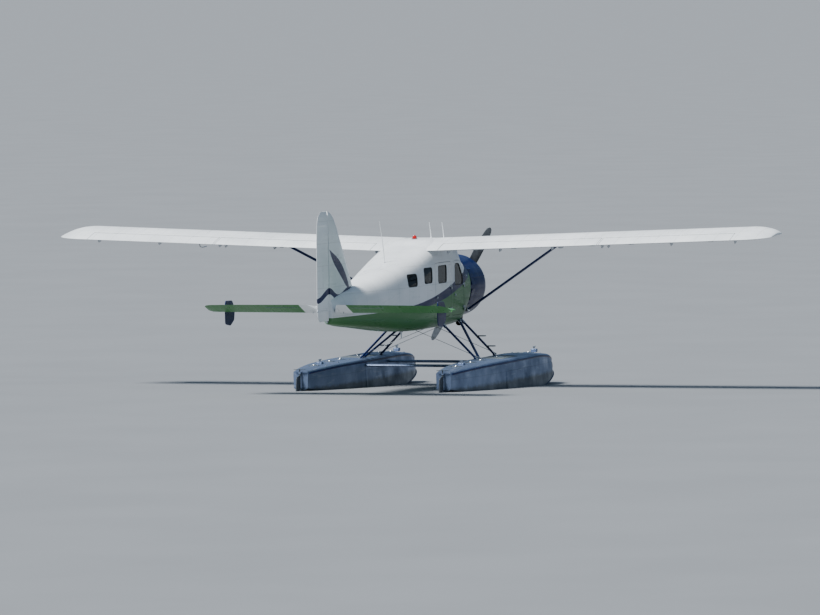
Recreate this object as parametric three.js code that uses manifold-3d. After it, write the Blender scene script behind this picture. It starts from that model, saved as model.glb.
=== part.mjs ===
// A floatplane: a high-wing cabin aeroplane with one radial engine, standing on the keels of its two floats.
// Millimetres. +X is the aircraft's left, +Y its tail, +Z up. The keels touch Z = 0.
// A station is the distance aft of the float bow tips.
import * as THREE from "three";
import { mergeVertices } from "three/addons/utils/BufferGeometryUtils.js";
import Module from "manifold-3d";

const wasm = await Module();
wasm.setup();

// Driving dimensions
const LENGTH = 9980;
const SPAN = 14630;
const GAP = 0.4;
const RUNNING_GAP = 8;

const WALL = 40;
const FLOOR_DEPTH = 70;
const CEILING = 3000;
const FIREWALL = 2250;
const CABIN_FRONT = 2600;
const CABIN_REAR = 5340;
const BULKHEAD = 6150;
const STERNPOST = 9370;
const SILL = 1660;
const WALL_TOP = 2860;

// Floor boards, and the cargo panel raised above them
const BOARDS_HALF = 445;
const BOARDS_FOOT = 1585;
const SEAT_FLOOR = 1640;
const FLOOR_TOP = 1650;
const CARGO_FLOOR = [3560, 4300];

// Windshield: the foot and head of its slanted edge, and its pane
const SCREEN_FOOT = [CABIN_FRONT - 20, 2358];
const SCREEN_HEAD_STATION = 3030;
const SCREEN_TOP_STATION = 3075;
const PANE_HALF = 545;
const PANE = [2745, 3035];

const THRUST_LINE = 2230;
const COWL_FRONT = 1160;
const COWL_RADIUS = 620;
const PROPELLER_RADIUS = 1295;
const PROPELLER_STATION = 990;
const PROPELLER_TILT = 29;
const HUB_BACK = 70;

const CHORD = 1587;
const WING_FRONT = 3117;
const WING_NOSE_Z = 3110;
const WING_THICKNESS = 0.16;
const WING_CAMBER = 0.025;
const DIHEDRAL = 2;
const INCIDENCE = 2.5;
const TIP_LENGTH = 520;
const HINGE_SHARE = 0.74;
const FLAP_SPAN = [700, 3920];
const AILERON_SPAN = [3970, 6600];

const TAIL_SPAN = 4830;
const TAIL_Z = 2120;
const ELEVATOR_HINGE = 9255;
const ELEVATOR_REST = 16;
const TORQUE_TUBE_RADIUS = 22;
const TORQUE_TUBE_HALF = 140;
const FINLET_X = 2120;

const FIN_TOP = 4000;
const RUDDER_HINGE = 9420;
const RUDDER_FOOT = 1925;
const RUDDER_NOSE_RADIUS = 38;
const RUDDER_BRACKETS = [3300, 2700];
const BRACKET_HEIGHT = 20;
const PIVOT_RADIUS = 14;

const FLOAT_X = 1450;
const STRUT_FOOT_X = 1250;
const FRONT_FRAME = 2580;
const REAR_FRAME = 3835;
const STEP = 3960;
const FLOAT_STERN = 6760;
const WATER_RUDDER_HINGE = 6812;
const WATER_RUDDER_ARMS = [455, 760];
const ARM_HEIGHT = 24;

// Paints and metals
const WHITE = 0xe9ecec;
const NAVY = 0x14264a;
const GREEN = 0x56806f;
const BARE = 0xb4bcc2;
const DARK = 0x2b3138;
const GLASS = 0x9fb4bf;
const LEATHER = 0x6b5a4b;
const CAST = 0x5a5d60;
const BLADE_PAINT = 0x3a3f45;

const place = (station) => station - LENGTH / 2;
const point = (x, station, z) => new THREE.Vector3(x, place(station), z);
const radians = THREE.MathUtils.degToRad;

// Solids and meshes

function geometryOf(positions) {
  const attribute = new THREE.Float32BufferAttribute(positions, 3);
  return new THREE.BufferGeometry().setAttribute("position", attribute);
}

function signedVolume(positions, index) {
  const corner = (i) => new THREE.Vector3().fromArray(positions, index[i] * 3);
  let six = 0;
  for (let i = 0; i < index.length; i += 3) {
    six += corner(i).dot(corner(i + 1).cross(corner(i + 2)));
  }
  return six;
}

// A closed geometry as a solid, its faces turned outwards and its collapsed triangles dropped.
function solid(geometry) {
  const bare = geometry.index ? geometry.toNonIndexed() : geometry.clone();
  bare.deleteAttribute("normal");
  bare.deleteAttribute("uv");
  const merged = mergeVertices(bare, 1e-3);
  const positions = merged.attributes.position.array;
  const index = [];
  for (let i = 0; i < merged.index.count; i += 3) {
    const [a, b, c] = [0, 1, 2].map((k) => merged.index.getX(i + k));
    if (a !== b && b !== c && c !== a) index.push(a, b, c);
  }
  if (signedVolume(positions, index) < 0) index.reverse();
  const triVerts = new Uint32Array(index);
  return new wasm.Manifold(new wasm.Mesh({ numProp: 3, vertProperties: positions, triVerts }));
}

function geometryFrom(made) {
  const mesh = made.getMesh();
  const positions = [];
  for (let i = 0; i < mesh.numVert; i++) {
    const start = i * mesh.numProp;
    positions.push(...mesh.vertProperties.subarray(start, start + 3));
  }
  return geometryOf(positions).setIndex([...mesh.triVerts]);
}

const join = (first, ...rest) => rest.reduce((sum, next) => sum.add(next), first);
const cut = (first, ...rest) => rest.reduce((left, next) => left.subtract(next), first);

// Rings of equal length, joined in order and closed by a fan at each end.
// The diagonals lean opposite ways on the two sides, so that a symmetric body has symmetric facets.
function loft(rings) {
  const positions = [];
  const put = (...corners) => corners.forEach((p) => positions.push(p.x, p.y, p.z));
  const count = rings[0].length;
  const next = (k) => (k + 1) % count;
  for (let i = 0; i + 1 < rings.length; i++) {
    const [near, far] = [rings[i], rings[i + 1]];
    for (let k = 0; k < count; k++) {
      const [a, b, c, d] = [near[k], near[next(k)], far[next(k)], far[k]];
      const leans = a.x + b.x + c.x + d.x > 0;
      if (leans) put(a, b, c, a, c, d);
      else put(a, b, d, b, c, d);
    }
  }
  for (const [ring, forwards] of [[rings[0], false], [rings.at(-1), true]]) {
    const centre = new THREE.Vector3();
    ring.forEach((p) => centre.addScaledVector(p, 1 / count));
    for (let k = 0; k < count; k++) {
      if (forwards) put(centre, ring[k], ring[next(k)]);
      else put(centre, ring[next(k)], ring[k]);
    }
  }
  return solid(geometryOf(positions));
}

function box([x0, x1], [s0, s1], [z0, z1]) {
  const made = new THREE.BoxGeometry(x1 - x0, s1 - s0, z1 - z0);
  return solid(made.translate((x0 + x1) / 2, place((s0 + s1) / 2), (z0 + z1) / 2));
}

// A side-view outline of [station, z] corners, rounded by radius, swept across from x0 to x1.
function sideOutline(corners, [x0, x1], radius = 0) {
  const shape = new THREE.Shape();
  const all = corners.map(([s, z]) => new THREE.Vector2(place(s), z));
  all.forEach((corner, i) => {
    const before = all.at(i - 1);
    const after = all[(i + 1) % all.length];
    const into = corner.clone().add(before.clone().sub(corner).setLength(Math.max(radius, 0.01)));
    const out = corner.clone().add(after.clone().sub(corner).setLength(Math.max(radius, 0.01)));
    if (i === 0) shape.moveTo(into.x, into.y);
    else shape.lineTo(into.x, into.y);
    if (radius) shape.quadraticCurveTo(corner.x, corner.y, out.x, out.y);
  });
  shape.closePath();
  const made = new THREE.ExtrudeGeometry(shape, { depth: x1 - x0, bevelEnabled: false, curveSegments: 2 });
  const across = new THREE.Matrix4().makeBasis(
    new THREE.Vector3(0, 1, 0), new THREE.Vector3(0, 0, 1), new THREE.Vector3(1, 0, 0));
  return solid(made.applyMatrix4(across).translate(x0, 0, 0));
}

// The corners of an outline moved inwards by a distance, each edge kept parallel.
function inset(corners, distance) {
  const centre = corners.reduce((sum, [s, z]) => [sum[0] + s / corners.length, sum[1] + z / corners.length], [0, 0]);
  return corners.map((corner, i) => {
    const lines = [[corners.at(i - 1), corner], [corner, corners[(i + 1) % corners.length]]].map(([a, b]) => {
      let normal = [b[1] - a[1], a[0] - b[0]];
      const size = Math.hypot(...normal);
      normal = normal.map((v) => v / size);
      const side = normal[0] * (centre[0] - a[0]) + normal[1] * (centre[1] - a[1]);
      if (side < 0) normal = normal.map((v) => -v);
      return [...normal, normal[0] * a[0] + normal[1] * a[1] + distance];
    });
    const [[a, b, e], [c, d, f]] = lines;
    const det = a * d - b * c;
    return [(e * d - b * f) / det, (a * f - e * c) / det];
  });
}

// A round bar between two points.
function rod(from, to, radius, sides = 8) {
  const axis = to.clone().sub(from);
  const made = new THREE.CylinderGeometry(radius, radius, axis.length(), sides);
  const turn = new THREE.Quaternion().setFromUnitVectors(new THREE.Vector3(0, 1, 0), axis.clone().normalize());
  const middle = from.clone().add(to).multiplyScalar(0.5);
  return solid(made.applyQuaternion(turn).translate(middle.x, middle.y, middle.z));
}

// A streamlined strut between two points: an ellipse with its long axis along the flight.
function strutBar(from, to, chord, thickness) {
  const axis = to.clone().sub(from).normalize();
  const aft = new THREE.Vector3(0, 1, 0);
  aft.addScaledVector(axis, -aft.dot(axis)).normalize();
  const side = axis.clone().cross(aft);
  const ring = (centre) => Array.from({ length: 10 }, (_, k) => {
    const t = (2 * Math.PI * k) / 10;
    return centre.clone()
      .addScaledVector(aft, (Math.cos(t) * chord) / 2)
      .addScaledVector(side, (Math.sin(t) * thickness) / 2);
  });
  return loft([ring(from), ring(to)]);
}

const aircraft = new THREE.Group();

function addMesh(name, made, colour, roughness = 0.45, metalness = 0.1) {
  const geometry = made.isBufferGeometry ? made : geometryFrom(made);
  const mesh = new THREE.Mesh(geometry, new THREE.MeshStandardMaterial({ color: colour, roughness, metalness }));
  mesh.name = name;
  aircraft.add(mesh);
}

// The same piece on both sides: made for the left, and mirrored for the right.
function addPair(name, made, ...finish) {
  const left = geometryFrom(made);
  const right = left.clone().scale(-1, 1, 1);
  right.setIndex([...right.index.array].reverse());
  addMesh(name + "_left", left, ...finish);
  addMesh(name + "_right", right, ...finish);
}

// Fuselage

// station, half width, lowest, highest, power of the superellipse
const FUSELAGE = [
  [FIREWALL, 600, 1640, 2840, 2.3],
  [2480, 612, 1565, 2838, 3],
  [2700, 620, 1525, 2830, 4],
  [3050, 620, 1505, 3180, 4.5],
  [3500, 620, 1500, 3265, 4.5],
  [4000, 620, 1500, 3255, 4.5],
  [4704, 620, 1500, 3110, 4.5],
  [CABIN_REAR, 600, 1510, 2985, 4],
  [BULKHEAD, 530, 1560, 2830, 3.4],
  [7100, 415, 1640, 2660, 2.8],
  [8100, 280, 1730, 2500, 2.5],
  [8900, 170, 1800, 2400, 2.3],
  [STERNPOST, 95, 1860, 2330, 2.2],
];

// The section at the cabin's front, between two of those rows: half width, lowest, highest, power
const CABIN_FRONT_SECTION = [615, 1542, 2830, 3.5];
const SECTION_POINTS = 24;

function sectionRing(station, half, low, high, power) {
  const [middle, tall] = [(low + high) / 2, (high - low) / 2];
  const bulge = (value) => Math.sign(value) * Math.abs(value) ** (2 / power);
  return Array.from({ length: SECTION_POINTS }, (_, k) => {
    const t = (2 * Math.PI * k) / SECTION_POINTS;
    return point(half * bulge(Math.cos(t)), station, middle + tall * bulge(Math.sin(t)));
  });
}

function fuselageBody(grow = 0) {
  return loft(FUSELAGE.map(([s, half, low, high, power]) =>
    sectionRing(s, half + grow, low - grow, high + grow, power)));
}

function fuselageInside() {
  const rows = FUSELAGE.filter(([s]) => s > CABIN_FRONT && s < STERNPOST);
  const rings = rows.map(([s, half, low, high, power]) => {
    const floor = s < BULKHEAD ? low + FLOOR_DEPTH : low + WALL;
    return sectionRing(s, half - WALL, floor, Math.min(high - WALL, CEILING), power);
  });
  const [half, low, high, power] = CABIN_FRONT_SECTION;
  return loft([sectionRing(CABIN_FRONT, half - WALL, low + FLOOR_DEPTH, high - WALL, power), ...rings]);
}

const outside = fuselageBody();
const outsideGrown = fuselageBody(GAP);
const shell = cut(outside, fuselageInside());
const WIDE = [-900, 900];
const LEFT_HALF = [0, 900];
const WHOLE_LENGTH = [0, LENGTH];
const UNDERSIDE = 1000;
const ABOVE = 3600;
const TALL = [UNDERSIDE, ABOVE];
const between = (made, stations, heights, across = WIDE) => made.intersect(box(across, stations, heights));

// Everything above the windshield's slanted edge, back to the roof.
const screenRegion = (grow) => sideOutline([
  [SCREEN_FOOT[0], SCREEN_FOOT[1] - grow], [SCREEN_HEAD_STATION + grow / 2, WALL_TOP - grow],
  [SCREEN_TOP_STATION + grow, WALL_TOP - grow],
  [SCREEN_TOP_STATION + grow, ABOVE], [SCREEN_FOOT[0], ABOVE],
], WIDE);

// Door and window outlines: [station, z] corners
const CREW_DOOR = [[2765, 1720], [2765, 2490], [3045, 2810], [3420, 2810], [3420, 1720]];
const CREW_WINDOW = [[2835, 2320], [2835, 2475], [3078, 2750], [3360, 2750], [3360, 2320]];
const CABIN_DOOR = [[3600, 1720], [3600, 2810], [4600, 2810], [4600, 1720]];
const CABIN_WINDOW = [[3880, 2400], [3880, 2750], [4430, 2750], [4430, 2400]];
const SIDE_WINDOW = [[4790, 2430], [4790, 2740], [5250, 2740], [5250, 2430]];
const AFT_WINDOW = [[5610, 2400], [5610, 2650], [6060, 2650], [6060, 2400]];
const ROUNDING = 70;
const LEFT_SIDE = [300, 900];

// Glass lies between two depths under the outer skin.
const GLASS_OUTER = 12;
const GLASS_INNER = 20;
const glassSkin = cut(fuselageBody(-GLASS_OUTER), fuselageBody(-GLASS_INNER));
const glassIn = (corners) => glassSkin.intersect(sideOutline(inset(corners, GAP), LEFT_SIDE, ROUNDING));
const hole = (corners) => sideOutline(corners, LEFT_SIDE, ROUNDING);

// Hinge knuckles: stacked barrels on the hinge line, the door's above the frame's.
const HINGE_RADIUS = 11;
const KNUCKLE = 45;
const HINGE_X = 634;
const HINGE_HEIGHTS = [1850, 2300];
const LEAF_LENGTH = 40;
const LEAF_ACROSS = [595, 640];
const hingeLine = (corners) => corners[0][0] + RUNNING_GAP / 2;

function knuckles(corners, owner) {
  const station = hingeLine(corners);
  return HINGE_HEIGHTS.map((z) => {
    const low = owner === "door" ? z + GAP : z - KNUCKLE;
    const leaf = owner === "door" ? [station, station + LEAF_LENGTH] : [station - LEAF_LENGTH, station];
    const barrel = rod(point(HINGE_X, station, low), point(HINGE_X, station, low + KNUCKLE), HINGE_RADIUS);
    return join(barrel, box(LEAF_ACROSS, leaf, [low, low + KNUCKLE]));
  });
}

function door(corners, window) {
  const panel = shell.intersect(sideOutline(inset(corners, RUNNING_GAP), LEFT_SIDE, ROUNDING));
  return cut(join(panel, ...knuckles(corners, "door")), hole(window));
}

// The rudder's lower lug on the sternpost: its plate and the pin that the rudder turns on
function lowerLug() {
  const top = RUDDER_FOOT - PIVOT_RADIUS;
  return join(
    box([-22, 22], [STERNPOST - 30, RUDDER_HINGE + 30], [top - 26, top]),
    rod(point(0, RUDDER_HINGE, top - 16), point(0, RUDDER_HINGE, RUDDER_FOOT - GAP), PIVOT_RADIUS));
}

// A plate that closes the cabin's inside behind the baggage space
const BULKHEAD_THICKNESS = 4;

function bulkhead() {
  const inward = WALL + 3 * GAP;
  const [, half, low, high, power] = FUSELAGE.find(([s]) => s === BULKHEAD);
  return loft([0, BULKHEAD_THICKNESS].map((d) =>
    sectionRing(BULKHEAD + d, half - inward, low + inward, high - inward, power)));
}

function addFuselage() {
  addMesh("nose_section", between(outside, [FIREWALL - 10, CABIN_FRONT - GAP], TALL), WHITE);
  const cabin = between(shell, [CABIN_FRONT, CABIN_REAR - GAP], TALL);

  const length = [CABIN_FRONT + GAP, CABIN_REAR - GAP];
  const across = [-BOARDS_HALF, BOARDS_HALF];
  const raised = box(across, CARGO_FLOOR, [BOARDS_FOOT, FLOOR_TOP]);
  const boards = box(across, length, [BOARDS_FOOT, SEAT_FLOOR]).add(raised).intersect(fuselageBody(-WALL / 2));
  addMesh("cabin_floor", join(between(cabin, WHOLE_LENGTH, [UNDERSIDE, SILL - GAP]), boards), GREEN);

  const upright = cut(between(cabin, WHOLE_LENGTH, [SILL, WALL_TOP - GAP], LEFT_HALF), screenRegion(GAP));
  const frames = [...knuckles(CREW_DOOR, "frame"), ...knuckles(CABIN_DOOR, "frame")];
  const holes = [hole(CREW_DOOR), hole(CABIN_DOOR), hole(SIDE_WINDOW)];
  addPair("cabin_wall", join(cut(upright, ...holes), ...frames), WHITE);
  addPair("crew_door", door(CREW_DOOR, CREW_WINDOW), WHITE);
  addPair("cabin_door", door(CABIN_DOOR, CABIN_WINDOW), WHITE);
  addPair("crew_door_glass", glassIn(CREW_WINDOW), GLASS, 0.05, 0);
  addPair("cabin_door_glass", glassIn(CABIN_WINDOW), GLASS, 0.05, 0);
  addPair("side_window", glassIn(SIDE_WINDOW), GLASS, 0.05, 0);

  const roof = between(cabin, [SCREEN_TOP_STATION + 2 * GAP, LENGTH], [WALL_TOP, ABOVE]);
  addMesh("cabin_roof", roof, WHITE);

  const pane = (grow) =>
    box([grow - PANE_HALF, PANE_HALF - grow], [PANE[0] + grow, PANE[1] - grow], [SCREEN_FOOT[1], ABOVE]);
  const screen = cabin.intersect(screenRegion(0));
  addMesh("windshield_frame", cut(screen, pane(0)), WHITE);
  addMesh("windshield", glassSkin.intersect(pane(GAP)), GLASS, 0.05, 0);

  const rear = between(shell, [CABIN_REAR, STERNPOST + 10], TALL);
  const aftHoles = hole(AFT_WINDOW);
  const tubeHole = rod(point(WIDE[0], ELEVATOR_HINGE, TAIL_Z), point(WIDE[1], ELEVATOR_HINGE, TAIL_Z),
    TORQUE_TUBE_RADIUS + 2 * GAP, 16);
  const right = solid(geometryFrom(aftHoles).scale(-1, 1, 1));
  addMesh("rear_fuselage", join(cut(rear, aftHoles, right, tubeHole), lowerLug()), WHITE);
  addPair("aft_window", glassIn(AFT_WINDOW), GLASS, 0.05, 0);
  addMesh("rear_bulkhead", bulkhead(), BARE);
}

// Cabin fittings: seats as [name, x, station of the back rest, width, seat depth]
const SEATS = [
  ["pilot_seat", 290, 3500, 430, 430],
  ["copilot_seat", -290, 3500, 430, 430],
  ["rear_bench", 0, 4720, 1020, 440],
];
const SEAT_Z = 1960;
const CUSHION = 90;
const LEG_TOP = SEAT_Z - 60;
const LEG_INSET = 110;
const LEG_HALF = 18;
const PANEL_FRONT = CABIN_FRONT + GAP;
const PANEL_OUTLINE = [[PANEL_FRONT, 2250], [PANEL_FRONT, 2700], [2790, 2660], [2760, 2250]];
const PANEL_ACROSS = [-520, 520];
const PANEL_CLEARANCE = 6;

function addCabin() {
  for (const [name, x, back, width, depth] of SEATS) {
    const across = [x - width / 2, x + width / 2];
    const cushion = sideOutline([
      [back - depth, SEAT_Z - CUSHION], [back - depth, SEAT_Z], [back + 30, SEAT_Z + 20], [back + 30, SEAT_Z - CUSHION],
    ], across, 25);
    const rest = sideOutline([
      [back - 30, LEG_TOP], [back + 60, SEAT_Z + 540], [back + 150, SEAT_Z + 530], [back + 70, LEG_TOP],
    ], across, 30);
    const legs = [-1, 1].map((side) => {
      const middle = x + side * (width / 2 - LEG_INSET);
      return box([middle - LEG_HALF, middle + LEG_HALF], [back - depth + 60, back + 20], [SEAT_FLOOR + GAP, LEG_TOP]);
    });
    addMesh(name, join(cushion, rest, ...legs), LEATHER, 0.7, 0);
  }
  const panel = sideOutline(PANEL_OUTLINE, PANEL_ACROSS, 20);
  addMesh("instrument_panel", panel.intersect(fuselageBody(-WALL - PANEL_CLEARANCE)), DARK, 0.8, 0);
}

// Nose: cowl, engine and propeller

function lathe(profile, station, z, segments) {
  const made = new THREE.LatheGeometry(profile.map(([r, d]) => new THREE.Vector2(r, d)), segments);
  return solid(made.translate(0, place(station), z));
}

// Cowl profile: [radius, distance aft of its front lip]
function addCowl() {
  const depth = FIREWALL - COWL_FRONT - GAP;
  const outer = [[520, 0], [575, 18], [605, 90], [COWL_RADIUS, 260], [COWL_RADIUS, 620], [596, depth]];
  const inner = [[580, depth], [604, 620], [604, 260], [560, 60], [505, 22]];
  addMesh("engine_cowl", lathe([...outer, ...inner, outer[0]], COWL_FRONT, THRUST_LINE, 32), NAVY);
}

// The engine: a crankcase, its nose and nine finned cylinders in one star.
const ENGINE_STATION = 1520;
const CYLINDERS = 9;
const BARREL = [[0, 200], [84, 200], [84, 325], [64, 340], [94, 358], [64, 376], [94, 394], [64, 412], [94, 430],
  [96, 500], [66, 560], [0, 568]];

function addEngine() {
  const back = FIREWALL - GAP - ENGINE_STATION;
  const front = PROPELLER_STATION + HUB_BACK + GAP - ENGINE_STATION;
  const cases = [[0, front], [45, front], [45, -330], [120, -300], [180, -200], [190, -130], [250, -110],
    [262, 0], [250, 110], [300, 140], [300, 200], [200, 300], [180, 520], [420, back - 20], [420, back], [0, back]];
  let engine = lathe(cases, ENGINE_STATION, THRUST_LINE, 18);
  for (let k = 0; k < CYLINDERS; k++) {
    const made = new THREE.LatheGeometry(BARREL.map(([r, h]) => new THREE.Vector2(r, h)), 8);
    made.rotateX(Math.PI / 2).rotateY((2 * Math.PI * k) / CYLINDERS);
    engine = engine.add(solid(made.translate(0, place(ENGINE_STATION), THRUST_LINE)));
  }
  addMesh("engine", engine, CAST, 0.6, 0.6);
}

// Blade sections: [radius, chord, thickness, twist in degrees]
const BLADE = [
  [60, 90, 90, 60],
  [180, 96, 84, 58],
  [330, 150, 46, 46],
  [600, 190, 28, 33],
  [900, 180, 18, 24],
  [1150, 140, 11, 19],
  [1260, 90, 8, 17],
  [PROPELLER_RADIUS, 30, 5, 17],
];

function addPropeller() {
  const blade = () => loft(BLADE.map(([radius, chord, thickness, twist]) =>
    Array.from({ length: 12 }, (_, k) => {
      const t = (2 * Math.PI * k) / 12;
      const [c, h] = [(Math.cos(t) * chord) / 2, (Math.sin(t) * thickness) / 2];
      const a = radians(twist);
      return new THREE.Vector3(c * Math.cos(a) - h * Math.sin(a), c * Math.sin(a) + h * Math.cos(a), radius);
    })));
  const hub = [[0, -220], [70, -205], [88, -150], [88, -70], [110, -60], [118, 0], [110, 62], [60, HUB_BACK],
    [0, HUB_BACK]];
  let made = solid(new THREE.LatheGeometry(hub.map(([r, d]) => new THREE.Vector2(r, d)), 20));
  for (const turn of [0, 180]) {
    made = made.add(solid(geometryFrom(blade()).rotateY(radians(turn))));
  }
  const placed = geometryFrom(made).rotateY(radians(-PROPELLER_TILT));
  addMesh("propeller", placed.translate(0, place(PROPELLER_STATION), THRUST_LINE), BLADE_PAINT, 0.35, 0.7);
}

// Wings

// An aerofoil as [distance aft, height] pairs, from the trailing edge over the top and back below.
function aerofoil(chord, thickness, camber, grow = 0, steps = 9) {
  const half = (x) => 5 * thickness * (0.2969 * Math.sqrt(x) - 0.126 * x - 0.3516 * x ** 2
    + 0.2843 * x ** 3 - 0.1036 * x ** 4);
  const line = (x) => (x < 0.4 ? (camber / 0.16) * (0.8 * x - x * x)
    : (camber / 0.36) * (0.2 + 0.8 * x - x * x));
  const xs = Array.from({ length: steps + 1 }, (_, k) => (1 + Math.cos((Math.PI * k) / steps)) / 2);
  const upper = xs.map((x) => [x * chord, (line(x) + half(x)) * chord + grow]);
  const lower = xs.slice(1, -1).reverse().map((x) => [x * chord, (line(x) - half(x)) * chord - grow]);
  return [...upper, ...lower];
}

// Places a wing point given as span from the centreline, distance aft of the nose and height.
function wingPoint(span, aft, height) {
  const [tilt, rise] = [radians(INCIDENCE), radians(DIHEDRAL)];
  const back = aft * Math.cos(tilt) + height * Math.sin(tilt);
  const up = height * Math.cos(tilt) - aft * Math.sin(tilt);
  return point(span * Math.cos(rise) - up * Math.sin(rise), WING_FRONT + back,
    WING_NOSE_Z + span * Math.sin(rise) + up * Math.cos(rise));
}

const WING_END = SPAN / 2 / Math.cos(radians(DIHEDRAL)) - 1.5;
const TIP_STEPS = [0, 0.35, 0.62, 0.82, 0.95, 1];

function wingBody(grow = 0) {
  const rows = [[300, 1], ...TIP_STEPS.map((e) => [WING_END - TIP_LENGTH * (1 - e), Math.sqrt(1 - e * e)])];
  return loft(rows.map(([span, fullness]) => {
    const share = 0.45 + 0.55 * fullness;
    const ring = aerofoil(CHORD * share, WING_THICKNESS * (0.12 + 0.88 * fullness), WING_CAMBER, grow);
    return ring.map(([aft, height]) => wingPoint(span, aft + CHORD * (1 - share) * 0.42, height));
  }));
}

const HINGE_AFT = HINGE_SHARE * CHORD;
const HINGE_HEIGHT = 27;
const NOSE_RADIUS = 66;
const COVE_GAP = 12;
const HINGE_PIN_RADIUS = 9;
const PIN_DEPTH = 5;

// A bar along the trailing-surface hinge line, and the block behind that line.
const hingeBar = ([from, to], radius, sides = 14) =>
  rod(wingPoint(from, HINGE_AFT, HINGE_HEIGHT), wingPoint(to, HINGE_AFT, HINGE_HEIGHT), radius, sides);
const behindHinge = ([from, to], start) => loft([from, to].map((span) => [
  wingPoint(span, start, -300), wingPoint(span, CHORD + 200, -300),
  wingPoint(span, CHORD + 200, 300), wingPoint(span, start, 300),
]));

function trailingSurface(wing, span) {
  const skin = wing.intersect(behindHinge(span, HINGE_AFT));
  const pins = [hingeBar([span[0] - COVE_GAP + GAP, span[0] + PIN_DEPTH], HINGE_PIN_RADIUS, 10),
    hingeBar([span[1] - PIN_DEPTH, span[1] + COVE_GAP - GAP], HINGE_PIN_RADIUS, 10)];
  const nose = hingeBar(span, NOSE_RADIUS).intersect(wing);
  return join(skin, nose, ...pins);
}

const wholeWing = wingBody();
const bayOf = ([from, to]) => [from - COVE_GAP, to + COVE_GAP];
// The wing strut: [x, station, z] of its foot and [span, distance aft, height] of its head on the wing
const WING_STRUT_FOOT = [600, 2500, 1790];
const WING_STRUT_HEAD = [2885, 500, -20];

function addWings() {
  const bay = [FLAP_SPAN, AILERON_SPAN].map(bayOf);
  const openings = bay.flatMap((span) => [behindHinge(span, HINGE_AFT), hingeBar(span, NOSE_RADIUS + COVE_GAP)]);
  addPair("wing", cut(wholeWing, outsideGrown, ...openings), WHITE);
  addPair("flap", trailingSurface(wholeWing, FLAP_SPAN), WHITE);
  addPair("aileron", trailingSurface(wholeWing, AILERON_SPAN), WHITE);
  const strut = strutBar(point(...WING_STRUT_FOOT), wingPoint(...WING_STRUT_HEAD), 120, 48);
  addPair("wing_strut", cut(strut, outsideGrown, wingBody(GAP)), NAVY);
}

// Tail

// A symmetric plate section: a ring at one height or span with rounded nose and thin trailing edge.
function tailRing(front, rear, thickness, put) {
  return aerofoil(rear - front, thickness / (rear - front), 0, 0, 6).map(([aft, height]) => put(front + aft, height));
}

// Half tailplane rows: [span, nose station, trailing station, thickness]
const TAILPLANE = [
  [40, 8470, 9730, 120],
  [1700, 8680, 9700, 100],
  [2200, 8745, 9675, 84],
  [2340, 8800, 9640, 66],
  [TAIL_SPAN / 2, 8960, 9530, 30],
];

const tailplane = () => loft(TAILPLANE.map(([span, front, rear, thickness]) =>
  tailRing(front, rear, thickness, (s, h) => point(span, s, TAIL_Z + h))));
const aftOf = (station, across) => box(across, [station, 12000], [UNDERSIDE, 4500]);
const ELEVATOR_NOSE = 38;
const ELEVATOR_GAP = 16;
const ELEVATOR_ROOT = 120;
// The slanted cut for the rudder, in plan: [x, station]
const RUDDER_NOTCH = [
  [0, ELEVATOR_HINGE + 20],
  [140, ELEVATOR_HINGE + 20],
  [150, RUDDER_HINGE - 60],
  [420, RUDDER_HINGE + 620],
  [0, RUDDER_HINGE + 620],
];

// The elevator's inner end is cut back along a slant, so that the rudder swings clear of it.
function elevatorHalf(half) {
  const across = rod(point(90, ELEVATOR_HINGE, TAIL_Z), point(TAIL_SPAN / 2 - 60, ELEVATOR_HINGE, TAIL_Z),
    ELEVATOR_NOSE, 14);
  const skin = half.intersect(aftOf(ELEVATOR_HINGE, [0, 3000]));
  const notch = loft([TAIL_Z - 220, TAIL_Z + 280].map((z) => RUDDER_NOTCH.map(([x, s]) => point(x, s, z))));
  const nose = across.intersect(half);
  const stub = box([ELEVATOR_ROOT + 4, ELEVATOR_ROOT + 30], [ELEVATOR_HINGE - 5, ELEVATOR_HINGE + 40],
    [TAIL_Z - 20, TAIL_Z + 20]);
  const root = box([0, ELEVATOR_ROOT], [9000, 9900], [1500, 2800]);
  return join(cut(join(skin, nose), notch, root), stub);
}

function addTailplane() {
  const half = tailplane();
  const bay = join(aftOf(ELEVATOR_HINGE, [0, 3000]),
    rod(point(0, ELEVATOR_HINGE, TAIL_Z), point(3000, ELEVATOR_HINGE, TAIL_Z), ELEVATOR_NOSE + ELEVATOR_GAP, 14));
  const fixed = cut(half, bay, outsideGrown);
  const finlet = cut(finletPlate(), tailplaneGrown(), bay);
  addPair("tailplane", fixed, GREEN);
  addPair("finlet", finlet, NAVY);

  const left = elevatorHalf(half);
  const right = solid(geometryFrom(left).scale(-1, 1, 1));
  const tube = rod(point(-TORQUE_TUBE_HALF, ELEVATOR_HINGE, TAIL_Z), point(TORQUE_TUBE_HALF, ELEVATOR_HINGE, TAIL_Z),
    TORQUE_TUBE_RADIUS, 16);
  const whole = geometryFrom(join(left, right, tube));
  const [y, z] = [place(ELEVATOR_HINGE), TAIL_Z];
  whole.translate(0, -y, -z).rotateX(radians(ELEVATOR_REST)).translate(0, y, z);
  addMesh("elevator", whole, GREEN);
}

const tailplaneGrown = () => loft(TAILPLANE.map(([span, front, rear, thickness]) =>
  tailRing(front - GAP, rear, thickness + 2 * GAP, (s, h) => point(span, s, TAIL_Z + h))));

// The finlet in side view, [station, z]: one plate over and under the tailplane
const FINLET = [[8690, 1900], [8650, 2120], [8800, 2280], [9170, 2290], [9190, 2120], [9170, 1840], [8900, 1800]];
const PLATE_HALF = 9;
const finletPlate = () => sideOutline(FINLET, [FINLET_X - PLATE_HALF, FINLET_X + PLATE_HALF], 40);

// Fin rows: [height, nose station, thickness], back to the rudder's hinge
const FIN = [
  [2250, 7750, 120],
  [2560, 7950, 110],
  [3500, 8690, 90],
  [3800, 8960, 76],
  [3940, 9160, 56],
  [FIN_TOP, 9330, 30],
];
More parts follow.
